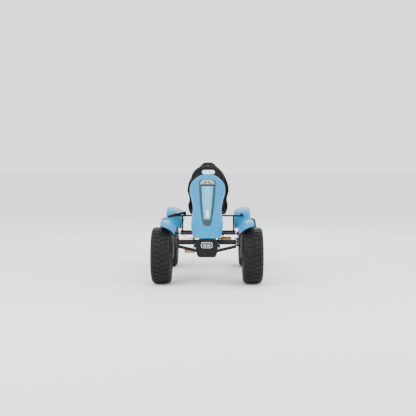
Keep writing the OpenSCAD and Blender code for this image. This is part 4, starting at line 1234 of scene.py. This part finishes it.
@dataclass
class Seat:
    """The moulded bucket seat with a rolled rim, ribs in the back and bolts in the pan."""

    wall: float = 7.0
    columns: int = 44
    slot: tuple[float, float, float, float] = (-58, 62, 362, 400)
    rows: tuple[tuple[float, ...], ...] = (
        (78, 4, 158, 6, -25), (92, 16, 170, 22, -8), (130, 14, 178, 52, 4), (190, 8, 182, 76, 4),
        (260, 8, 183, 84, 8), (320, 22, 182, 84, 30), (362, 62, 176, 78, 56), (386, 120, 174, 72, 70),
        (404, 190, 194, 74, 76), (418, 250, 188, 66, 78), (432, 310, 168, 48, 78), (444, 360, 146, 30, 79),
        (454, 405, 112, 16, 80), (461, 437, 74, 8, 80), (466, 458, 58, 5, 80), (469, 471, 34, 2, 80))

    def __post_init__(self) -> None:
        """Reads the height that the rows are measured from, in millimetres."""
        self.pan_z = whole_mm(Extent.of("seat_shell").low.z) - self.rows[0][1]

    def point(self, row: Sequence[float], u: float, lift: float) -> Vector:
        """A point on the seat.

        Args:
            row: place, height, half width, wing rise and lean.
            u: place across, from -1 to 1.
            lift: height above the underside.

        Returns:
            The point in millimetres.
        """
        y, z, half, wings, lean = row
        rise = wings * abs(u) ** 2.6 + lift
        across = (half - lift * u**4) * math.sin(math.radians(90 * u * 0.94)) / math.sin(math.radians(84.6))
        lean = math.radians(lean)
        return vec(across, y - rise * math.sin(lean), self.pan_z + z + rise * math.cos(lean))

    def in_slot(self, place: Vector) -> bool:
        """Whether a point of the back lies in the hand slot, which has round ends."""
        x0, x1, z0, z1 = self.slot
        x, z = place.x, place.z - self.pan_z
        r = (z1 - z0) / 2
        nearest = min(max(x, x0 + r), x1 - r)
        return place.y > 380 and math.hypot(x - nearest, z - (z0 + z1) / 2) < r

    def to_slot(self, place: Vector) -> Vector:
        """The point moved in X and Z onto the outline of the hand slot."""
        x0, x1, z0, z1 = self.slot
        r = (z1 - z0) / 2
        centre = Vector((min(max(place.x, x0 + r), x1 - r), self.pan_z + (z0 + z1) / 2))
        away = (Vector((place.x, place.z)) - centre).normalized() * r
        return vec(centre.x + away.x, place.y, centre.y + away.y)

    def grid(self, lift: Callable[[float, float], float],
             shape: Sequence[Sequence[float]]) -> list[list[Vector]]:
        """Rows of points.

        Args:
            lift: height above the underside from (row share, u).
            shape: the smooth rows.

        Returns:
            The grid.
        """
        last = len(shape) - 1
        return [[self.point(row, j / self.columns, lift(i / last, j / self.columns))
                 for j in range(-self.columns, self.columns + 1)] for i, row in enumerate(shape)]

    def smooth_rows(self) -> list[list[float]]:
        """The rows with more between them, averaged into a smooth run."""
        shape: list[list[float]] = []
        for low, high in zip(self.rows, self.rows[1:]):
            steps = max(2, int(math.hypot(high[0] - low[0], high[1] - low[1]) / 7))
            shape += [[mix(a, b, s / steps) for a, b in zip(low, high)] for s in range(steps)]
        shape.append(list(self.rows[-1]))
        for _ in range(3):
            middle = [[(a + 2 * b + c) / 4 for a, b, c in zip(*three)]
                      for three in zip(shape, shape[1:], shape[2:])]
            shape = [shape[0], *middle, shape[-1]]
        return shape

    def top(self, share: float, u: float) -> float:
        """The lift of the seating side: full wall with channels down the back and a soft edge."""
        back = 1.0 if 0.5 < share < 0.84 else 0.0
        channel = 2.2 * back * math.exp(-(((abs(u) - 0.42) / 0.045) ** 2))
        return self.wall - channel - self.edge(share, u, 2.4) - 0.2

    def under(self, share: float, u: float) -> float:
        """The lift of the underside: flat with a soft edge."""
        return 0.2 + self.edge(share, u, 2.2)

    @staticmethod
    def edge(share: float, u: float, depth: float) -> float:
        """How far the skin turns in at the shell's rim."""
        sides = max(0.0, (abs(u) - 0.95) / 0.05) ** 2
        ends = max(0.0, 1 - min(share, 1 - share) / 0.012) ** 2
        return depth * (sides + ends)

    def hollowed(self, faces: Sequence[list[list[Vector]]]) -> list[list[bool]]:
        """Moves the points round the hand slot onto its outline.

        Args:
            faces: the grids of both sides.

        Returns:
            Whether each cell of the grids lies in the slot.
        """
        rows, width = len(faces[0]), len(faces[0][0])
        cells = [[self.in_slot(sum((faces[0][i + a][j + b] for a in (0, 1) for b in (0, 1)), vec(0, 0, 0))
                               / 4)
                  for j in range(width - 1)] for i in range(rows - 1)]
        for i in range(1, rows - 1):
            for j in range(1, width - 1):
                if len({cells[i - a][j - b] for a in (0, 1) for b in (0, 1)}) == 2:
                    for grid in faces:
                        grid[i][j] = self.to_slot(grid[i][j])
        return cells

    def bucket(self) -> bpy.types.Object:
        """Makes the shell with its hand slot."""
        rows = self.smooth_rows()
        faces = [self.grid(lift, rows) for lift in (self.top, self.under)]
        cells = self.hollowed(faces)
        body = Body()
        upper, lower = ([body.points([p * MM for p in row]) for row in grid] for grid in faces)
        filled = {(i, j) for i, row in enumerate(cells) for j, is_open in enumerate(row) if not is_open}
        for i, j in sorted(filled):
            for grid in (upper, lower):
                body.bm.faces.new((grid[i][j], grid[i][j + 1], grid[i + 1][j + 1], grid[i + 1][j]))
        for i, j in sorted(filled):
            sides = (((i, j), (i, j + 1), (i - 1, j)), ((i + 1, j), (i + 1, j + 1), (i + 1, j)),
                     ((i, j), (i + 1, j), (i, j - 1)), ((i, j + 1), (i + 1, j + 1), (i, j + 1)))
            for (ai, aj), (bi, bj), beyond in sides:
                if beyond not in filled:
                    body.bm.faces.new((upper[ai][aj], upper[bi][bj], lower[bi][bj], lower[ai][aj]))
        return body.made("seat_bucket")

    def build(self, shop: Shop) -> None:
        """Makes the shell, then the bolts in its pan."""
        shop.add(self.bucket(), "seat", SEAT, "seat_plastic", ["seat_shell"], angle=60.0)
        bolts = Body()
        for x in (-60, 60):
            for y in (165, 245):
                place = vec(x, y, self.pan_z + 16.5 + 76 * (abs(x) / 182) ** 2.6) * MM
                bolts.bolt(place, vec(0, 0, 1), 6 * MM, 4 * MM, domed=True)
        shop.add(bolts.made("seat_bolts"), "seat", ZINC, "zinc", angle=40.0)
        shop.dress("seat_slider", FRAME)


@dataclass
class SteeringWheel:
    """The rubber-rimmed wheel with three spokes and a soft pad."""

    ring: float = 128.0
    grip: float = 16.0
    pad_lift: float = 14.0

    def build(self, shop: Shop) -> None:
        """Makes the rim with finger waves, the spokes, the hub and the pad."""
        joints = {joint["name"]: joint for joint in frame["record"]["behaviour"]["joints"]}
        axis = Vector(joints["steering_turn"]["axis"])
        across = vec(1, 0, 0)
        up = axis.cross(across)
        centre = Extent.of("steering_pad").centre - axis * self.pad_lift * MM
        body = Body()
        steps, sides = 120, 14
        rings = []
        for k in range(steps):
            a = math.tau * k / steps
            out = math.cos(a) * across + math.sin(a) * up
            wave = 0.55 * (0.5 + 0.5 * math.cos(60 * a)) if math.cos(a) ** 2 > 0.25 else 0.2
            r = (self.grip - wave) * MM
            middle = centre + out * self.ring * MM
            rings.append(body.points([middle + r * (math.cos(b) * out + math.sin(b) * axis)
                                      for b in (math.tau * j / sides for j in range(sides))]))
        body.skin(rings + [rings[0]])
        shop.add(body.made("steering_wheel_rim"), "steering", GRIP, "grip_rubber", ["steering_wheel"],
                 angle=60.0)
        spokes = Body()
        for degrees in (0, 90, 180):
            a = math.radians(degrees)
            out = math.cos(a) * across + math.sin(a) * up
            side = axis.cross(out)
            outlines = []
            for r, w, low, high in ((14, 19, -9, 4), (34, 15, -7, 3.5), (70, 11.5, -5, 3),
                                    (104, 13, -5.5, 3.2), (118, 16, -6, 4)):
                outlines.append([centre + (out * r + side * s + axis * t) * MM
                                 for s, t in ((-w, low), (w, low), (w, high - 1.5), (w - 2, high),
                                              (-w + 2, high), (-w, high - 1.5))])
            spokes.prism(outlines)
        spokes.turned([(11.6 * MM, -26 * MM), (24 * MM, -26 * MM), (26 * MM, -24 * MM), (26 * MM, 3 * MM),
                       (11.6 * MM, 3.5 * MM)],
                      centre, axis, 40)
        shop.add(spokes.made("steering_wheel_spokes"), "steering", BLACK, "black_plastic",
                 softening=Softening.BEVEL,
                 width=0.0012)
        self.pad(shop, centre, axis, across, up)

    def pad(self, shop: Shop, centre: Vector, axis: Vector, across: Vector, up: Vector) -> None:
        """Makes the crowned centre pad with a raised frame and a seam."""
        body = Body()
        outlines = []
        shape = ((37.0, 32.0, 4.2), (38.6, 33.6, 6.0), (38.8, 33.8, 9.6), (38.2, 33.2, 10.4),
                 (38.8, 33.8, 11.2), (38.0, 33.0, 17.0),
                 (34.0, 29.0, 21.0), (28.0, 23.0, 22.9), (26.5, 21.5, 22.2), (14.0, 11.0, 23.0))
        for w, h, t in shape:
            ring = []
            for k in range(48):
                a = math.tau * k / 48
                c, s = math.cos(a), math.sin(a)
                x = w * math.copysign(abs(c) ** 0.42, c)
                y = h * math.copysign(abs(s) ** 0.42, s)
                ring.append(centre + (across * x + up * y + axis * t) * MM)
            outlines.append(ring)
        body.prism(outlines)
        shop.add(body.made("steering_wheel_pad"), "steering", PAD, "grip_rubber", ["steering_pad"],
                 angle=50.0)


# ---- drive -------------------------------------------------------------------------------------


@dataclass
class ChainDrive:
    """Two toothed wheels and the roller chain that runs round them."""

    pitch: float = 12.7
    large: int = 38
    small: int = 16

    def __post_init__(self) -> None:
        """Reads both axes as (y, z) and the chain's plane from the frame, in millimetres."""
        middles = [Extent.of(node).centre for node in ("chainring", "rear_sprocket")]
        self.crank, self.axle = [(whole_mm(middle.y), whole_mm(middle.z)) for middle in middles]
        self.chain_x = whole_mm(Extent.of("drive_chain").centre.x)

    @staticmethod
    def radius(pitch: float, teeth: int) -> float:
        """The pitch circle's radius."""
        return pitch / 2 / math.sin(math.pi / teeth)

    def line(self) -> list[Vector]:
        """Evenly spaced points round the chain, in millimetres, as (y, z)."""
        r1, r2 = self.radius(self.pitch, self.large), self.radius(self.pitch, self.small)
        c1, c2 = Vector(self.crank), Vector(self.axle)
        base = math.atan2(c2.y - c1.y, c2.x - c1.x)
        spread = math.acos((r1 - r2) / (c2 - c1).length)
        dense: list[Vector] = []
        for centre, r, first, last in ((c1, r1, base + spread, base + math.tau - spread),
                                       (c2, r2, base - spread, base + spread)):
            dense += [centre + r * Vector((math.cos(a), math.sin(a)))
                      for a in (mix(first, last, i / 90) for i in range(91))]
        lengths = [(b - a).length for a, b in zip(dense, dense[1:] + dense[:1])]
        total = sum(lengths)
        count = 2 * round(total / self.pitch / 2)
        out, walked, i = [], 0.0, 0
        for k in range(count):
            goal = total * k / count
            while walked + lengths[i] < goal:
                walked += lengths[i]
                i += 1
            t = (goal - walked) / lengths[i]
            out.append(dense[i].lerp(dense[(i + 1) % len(dense)], t))
        return out

    def chain(self, shop: Shop) -> None:
        """Makes every link's plates, its rollers and its pins."""
        pins = self.line()
        body = Body()
        for i, (a, b) in enumerate(zip(pins, pins[1:] + pins[:1])):
            ahead = (b - a).normalized()
            side = Vector((-ahead.y, ahead.x))
            wide = 3.6 if i % 2 else 2.4
            for s in (-1, 1):
                x0, x1 = self.chain_x + s * wide, self.chain_x + s * (wide + 1.0)
                outline = []
                for end, turn, waist in ((b, 0.0, 2.9), (a, math.pi, -2.9)):
                    for k in range(5):
                        ang = turn - math.pi / 2 + math.pi * k / 4
                        outline.append(end + 3.9 * (math.cos(ang) * ahead + math.sin(ang) * side))
                    outline.append((a + b) / 2 + side * waist)
                body.prism([[vec(x, p.x, p.y) * MM for p in outline] for x in (x0, x1)])
            for r, reach, sides in ((3.6 * MM, 2.3 * MM, 10), (1.7 * MM, 4.9 * MM, 8)):
                body.turned([(r, -reach), (r, reach)], vec(self.chain_x, a.x, a.y) * MM, AXLE, sides,
                            closed=False)
        shop.add(body.made("drive_chain_links"), "frame", CHAIN, "chain_steel", ["drive_chain"], angle=40.0)

    def toothed(self, body: Body, centre: tuple[float, float], teeth: int, thick: float, bore: float,
                turn: float) -> None:
        """Adds a toothed ring plate.

        Args:
            body: the mesh that it goes in.
            centre: (y, z) of its axis.
            teeth: how many teeth.
            thick: plate thickness.
            bore: inner radius.
            turn: angle of the first tooth.
        """
        root = self.radius(self.pitch, teeth)
        outline, inner = [], []
        for k in range(teeth):
            a = turn + math.tau * k / teeth
            step = math.tau / teeth
            for share, r in ((-0.5, root - 3.9), (-0.34, root - 2.6), (-0.2, root + 0.6), (-0.08, root + 3.0),
                             (0.08, root + 3.0), (0.2, root + 0.6), (0.34, root - 2.6)):
                ang = a + share * step
                outline.append((r * math.cos(ang), r * math.sin(ang)))
                inner.append((bore * math.cos(ang), bore * math.sin(ang)))
        rings = []
        for x, loop in ((-thick / 2, inner), (-thick / 2, outline), (thick / 2, outline), (thick / 2, inner)):
            rings.append(body.points([vec(self.chain_x + x, centre[0] + p[0], centre[1] + p[1]) * MM
                                      for p in loop]))
        body.skin(rings + [rings[0]])

    def guards(self, shop: Shop) -> None:
        """Makes both halves of the guard with a raised pressed panel."""
        r1, r2 = self.radius(self.pitch, self.large) + 14, self.radius(self.pitch, self.small) + 14
        c1, c2 = Vector(self.crank), Vector(self.axle)

        def loop(grow: float) -> list[Vector]:
            """The outline round both wheels, grown by a distance."""
            base = math.atan2(c2.y - c1.y, c2.x - c1.x)
            spread = math.acos((r1 - r2) / (c2 - c1).length)
            out = []
            for centre, r, first, last in ((c1, r1, base + spread, base + math.tau - spread),
                                           (c2, r2, base - spread, base + spread)):
                out += [centre + (r + grow) * Vector((math.cos(a), math.sin(a)))
                        for a in (mix(first, last, i / 40) for i in range(41))]
            return out

        holes = (vec(*self.crank, 24.0), vec(*self.axle, 26.0))
        for name, s in (("chain_guard_outer", 1), ("chain_guard_inner", -1)):
            body = Body()
            face = self.chain_x + s * 14
            rings = []
            for grow, x in ((-0.2, self.chain_x + s * 0.2), (-0.2, face - s * 2.4), (-0.9, face - s * 0.8),
                            (-2.6, face - s * 0.1),
                            (-12, face - s * 0.1), (-14, face - s * 1.3), (-20, face - s * 1.3),
                            (-22, face - s * 0.1)):
                rings.append(body.points([vec(x, p.x, p.y) * MM for p in loop(grow)]))
            backs = []
            for grow, x in ((-2.6, self.chain_x + s * 0.2), (-2.7, face - s * 2.5), (-22, face - s * 2.5)):
                backs.append(body.points([vec(x, p.x, p.y) * MM for p in loop(grow)]))
            body.skin(rings)
            body.skin(backs)
            body.skin([rings[0], backs[0]])
            for front, back in zip(self.web(body, rings[-1], holes), self.web(body, backs[-1], holes)):
                body.skin([front, back])
            shop.add(body.made(name + "_shell"), "frame", BLACK, "black_plastic", [name], angle=50.0)

    def web(self, body: Body, ring: list, holes: Sequence[Vector]) -> list[list[bmesh.types.BMVert]]:
        """Fills a loop with faces that leave two round holes.

        Args:
            body: the mesh.
            ring: the loop's vertices, forty-one round each wheel.
            holes: (y, z, radius) of each hole, in millimetres.

        Returns:
            The vertices round each hole.
        """
        x = ring[0].co.x
        edges = []
        for half, hole in zip((ring[:41], ring[41:]), holes):
            centre = Vector((hole.x, hole.y)) * MM
            lip = []
            for v in half:
                away = (Vector((v.co.y, v.co.z)) - centre).normalized() * hole.z * MM
                lip.append(body.bm.verts.new((x, centre.x + away.x, centre.y + away.y)))
            first = math.atan2(lip[0].co.z - centre.y, lip[0].co.y - centre.x)
            last = math.atan2(lip[-1].co.z - centre.y, lip[-1].co.y - centre.x)
            sweep = (first - last) % math.tau
            extra = [body.bm.verts.new((x, centre.x + hole.z * MM * math.cos(last + sweep * k / 12),
                                        centre.y + hole.z * MM * math.sin(last + sweep * k / 12)))
                     for k in range(1, 12)]
            body.skin([half, lip], around=False)
            edges.append((lip, extra))
        (lip_a, extra_a), (lip_b, extra_b) = edges
        chain_a = [lip_a[-1], *extra_a, lip_a[0]]
        chain_b = [lip_b[-1], *extra_b, lip_b[0]]
        side_a = [ring[40], *chain_a, ring[0]]
        side_b = [ring[81], *chain_b, ring[41]][::-1]
        body.skin([side_a, side_b], around=False)
        return [lip_a + extra_a, lip_b + extra_b]

    def build(self, shop: Shop) -> None:
        """Makes the chain, both toothed wheels and the guard."""
        self.chain(shop)
        ring = Body()
        self.toothed(ring, self.crank, self.large, 3.6, 55.0, math.pi)
        shop.add(ring.made("chainring_teeth"), "crank", CHAIN, "chain_steel", angle=40.0)
        shop.dress("chainring", CHAIN)
        sprocket = Body()
        self.toothed(sprocket, self.axle, self.small, 3.6, 16.0, 0.0)
        shop.add(sprocket.made("rear_sprocket_teeth"), "rear_axle", CHAIN, "chain_steel", angle=40.0)
        shop.dress("rear_sprocket", CHAIN)
        self.guards(shop)


@dataclass
class Pedal:
    """A block pedal with foot ribs on its faces and reflectors in its edges."""

    side: Side
    inner: float = 112.0
    wide: float = 88.0
    long: float = 86.0
    high: float = 26.0

    def build(self, shop: Shop) -> None:
        """Makes the ribbed body and dresses the reflectors."""
        node = f"pedal_{self.side.word}"
        shop.dress(node, BLACK)
        shop.dress(f"pedal_reflectors_{self.side.word}", AMBER)
        centre = Extent.of(node).centre
        body = Body()
        half = self.wide / 2 - 2
        for s in (-1, 1):
            for k in range(9):
                x = mix(-half + 4, half - 4, k / 8)
                for y in (-self.long / 2 + 6.5, 0.0, self.long / 2 - 6.5):
                    low, high = sorted((s * (self.high / 2 - 1.5), s * (self.high / 2 - 0.1)))
                    body.box(centre + vec(x - 1.6, y - 4.6, low) * MM,
                             centre + vec(x + 1.6, y + 4.6, high) * MM)
        shop.add(body.made(node + "_ribs"), node, GRIP, "grip_rubber", angle=40.0)


# ---- finishes of this kart ---------------------------------------------------------------------

SKY = MouldedPlastic("sky_moulding", (0.001, 0.218, 0.450), roughness=0.30, grain_depth=0.00002,
                     mottling=0.03, dust=0.04,
                     coat=0.03, specular=0.13)
PALE = MouldedPlastic("pale_insert", (0.060, 0.370, 0.600), roughness=0.20, grain_depth=0.00001,
                      mottling=0.02, dust=0.0,
                      coat=0.05, specular=0.2)
PANEL = MouldedPlastic("panel_moulding", (0.030, 0.044, 0.052), roughness=0.34, mottling=0.04, dust=0.03,
                       coat=0.05,
                       specular=0.22)
FAINT = MouldedPlastic("faint_marks", (0.26, 0.50, 0.64), roughness=0.30, grain_depth=0.00001, mottling=0.01,
                       dust=0.0,
                       specular=0.35)
WHITE = MouldedPlastic("white_marks", (0.72, 0.76, 0.78), roughness=0.35, grain_depth=0.00001, mottling=0.01,
                       dust=0.0)
BLACK = MouldedPlastic("black_moulding", (0.0042, 0.0045, 0.0052), roughness=0.36, dust=0.04, specular=0.17)
SEAT = MouldedPlastic("seat_moulding", (0.0042, 0.0045, 0.0052), roughness=0.42, grain=650.0,
                      grain_depth=0.0001, dust=0.0,
                      specular=0.18)
PAD = MouldedPlastic("soft_pad", (0.0055, 0.0060, 0.0068), roughness=0.55, grain=500.0, grain_depth=0.00015,
                     dust=0.0,
                     specular=0.18)
TYRE = TyreRubber("tyre_compound")
GRIP = SoftGrip("grip_compound")
RIM = Paint("rim_powder", (0.0048, 0.0051, 0.0058), roughness=0.30, coat=0.12, chips=0.2, specular=0.25)
FRAME = Paint("frame_powder", (0.0040, 0.0042, 0.0048), roughness=0.32, coat=0.10, chips=0.2, specular=0.22)
AXLE_GREY = Paint("axle_powder", (0.060, 0.066, 0.072), roughness=0.36, metallic=0.2, coat=0.1, specular=0.3)
DARK_ZINC = BareMetal("dark_zinc", (0.030, 0.031, 0.034), roughness=0.30, stain=0.1)
ZINC = BareMetal("zinc_plate", (0.42, 0.43, 0.45), roughness=0.28, stain=0.15)
SILVER = BareMetal("bright_trim", (0.55, 0.56, 0.58), roughness=0.20, stain=0.04)
CHAIN = BareMetal("oiled_steel", (0.22, 0.22, 0.23), roughness=0.34, stain=0.5)
AMBER = Reflector("amber_reflector", (0.60, 0.17, 0.010))

DRESSED = {
    "main_frame": FRAME, "rear_frame": FRAME, "frame_fasteners": ZINC, "fender_bar": FRAME,
    "brake_cable": GRIP,
    "brake_band": ZINC, "frame_bearings": ZINC, "column_bushes": BLACK, "axle_pivot_bolt": ZINC,
    "front_axle": FRAME,
    "knuckle_left": AXLE_GREY, "knuckle_right": AXLE_GREY, "fender_stay_left": FRAME,
    "fender_stay_right": FRAME,
    "tie_rod_left": DARK_ZINC, "tie_rod_right": DARK_ZINC, "steering_column": FRAME,
    "steering_lower_shaft": FRAME,
    "rear_axle_shaft": ZINC, "brake_drum": CHAIN, "crank_arms": FRAME, "seat_clamp_lever": BLACK,
    "handbrake_lever": FRAME, "handbrake_grip": GRIP,
}


@dataclass
class Studio:
    """A pale floor, soft lights and the camera."""

    lens: float = 67.5
    place: tuple[float, float, float] = (0.065, -6.87, 0.99)
    aim: tuple[float, float, float] = (0.002, 0.0, 0.584)

    def light(self, name: str, place: Point, size: tuple[float, float], power: float, target: Point) -> None:
        """Adds an area light that faces a target."""
        data = bpy.data.lights.new(name, "AREA")
        data.shape = "RECTANGLE"
        data.size, data.size_y = size
        data.energy = power
        lamp = bpy.data.objects.new(name, data)
        lamp.location = place
        lamp.rotation_euler = (Vector(target) - Vector(place)).to_track_quat("-Z", "Y").to_euler()
        bpy.context.scene.collection.objects.link(lamp)

    def floor(self) -> None:
        """Makes the pale floor."""
        body = Body()
        body.bm.faces.new(body.points([(-30, -30, 0), (30, -30, 0), (30, 60, 0), (-30, 60, 0)]))
        floor = body.made("studio_floor")
        g = Graph("studio_white")
        floor.data.materials.append(g.surface({"Base Color": (0.90, 0.90, 0.90, 1.0), "Roughness": 0.9}))

    def build(self) -> None:
        """Makes the world, the floor, the lights and the camera."""
        world = bpy.data.worlds.new("studio_world")
        world.use_nodes = True
        world.node_tree.nodes["Background"].inputs[0].default_value = (0.97, 0.98, 1.0, 1.0)
        world.node_tree.nodes["Background"].inputs[1].default_value = 1.9
        bpy.context.scene.world = world
        self.floor()
        self.light("key", (-2.6, -3.4, 4.2), (3.0, 2.2), 190.0, (0, 0, 0.4))
        self.light("fill", (3.4, -2.6, 2.8), (2.6, 2.6), 90.0, (0, 0, 0.4))
        self.light("back", (0.6, 4.2, 3.6), (3.5, 2.0), 120.0, (0, 0.3, 0.5))
        data = bpy.data.cameras.new("studio_camera")
        data.lens = self.lens
        data.sensor_width = 36.0
        camera = bpy.data.objects.new("studio_camera", data)
        camera.location = self.place
        camera.rotation_euler = (Vector(self.aim) - Vector(self.place)).to_track_quat("-Z", "Y").to_euler()
        bpy.context.scene.collection.objects.link(camera)
        bpy.context.scene.camera = camera


def main() -> None:
    """Builds the whole scene."""
    logging.basicConfig(level=logging.INFO, format="%(name)s: %(message)s")
    shop = Shop()
    for node, finish in DRESSED.items():
        shop.dress(node, finish)
    for side in Side:
        Wheel("front", side, f"front_wheel_{side.word}").build(shop)
        Fender("front", f"knuckle_{side.word}", side, FRONT_FENDER, 54.5, 130.0, slant=9.0).build(shop)
        Fender("rear", "frame", side, REAR_FENDER, 30.0, 122.0).build(shop)
        Pedal(side).build(shop)
    Wheel("rear", Side.LEFT, "rear_axle").build(shop)
    Wheel("rear", Side.RIGHT, "rear_wheel_right").build(shop)
    Nose().build(shop)
    Cover().build(shop)
    Seat().build(shop)
    SteeringWheel().build(shop)
    ChainDrive().build(shop)
    Studio().build()


if __name__ == "__main__":
    main()
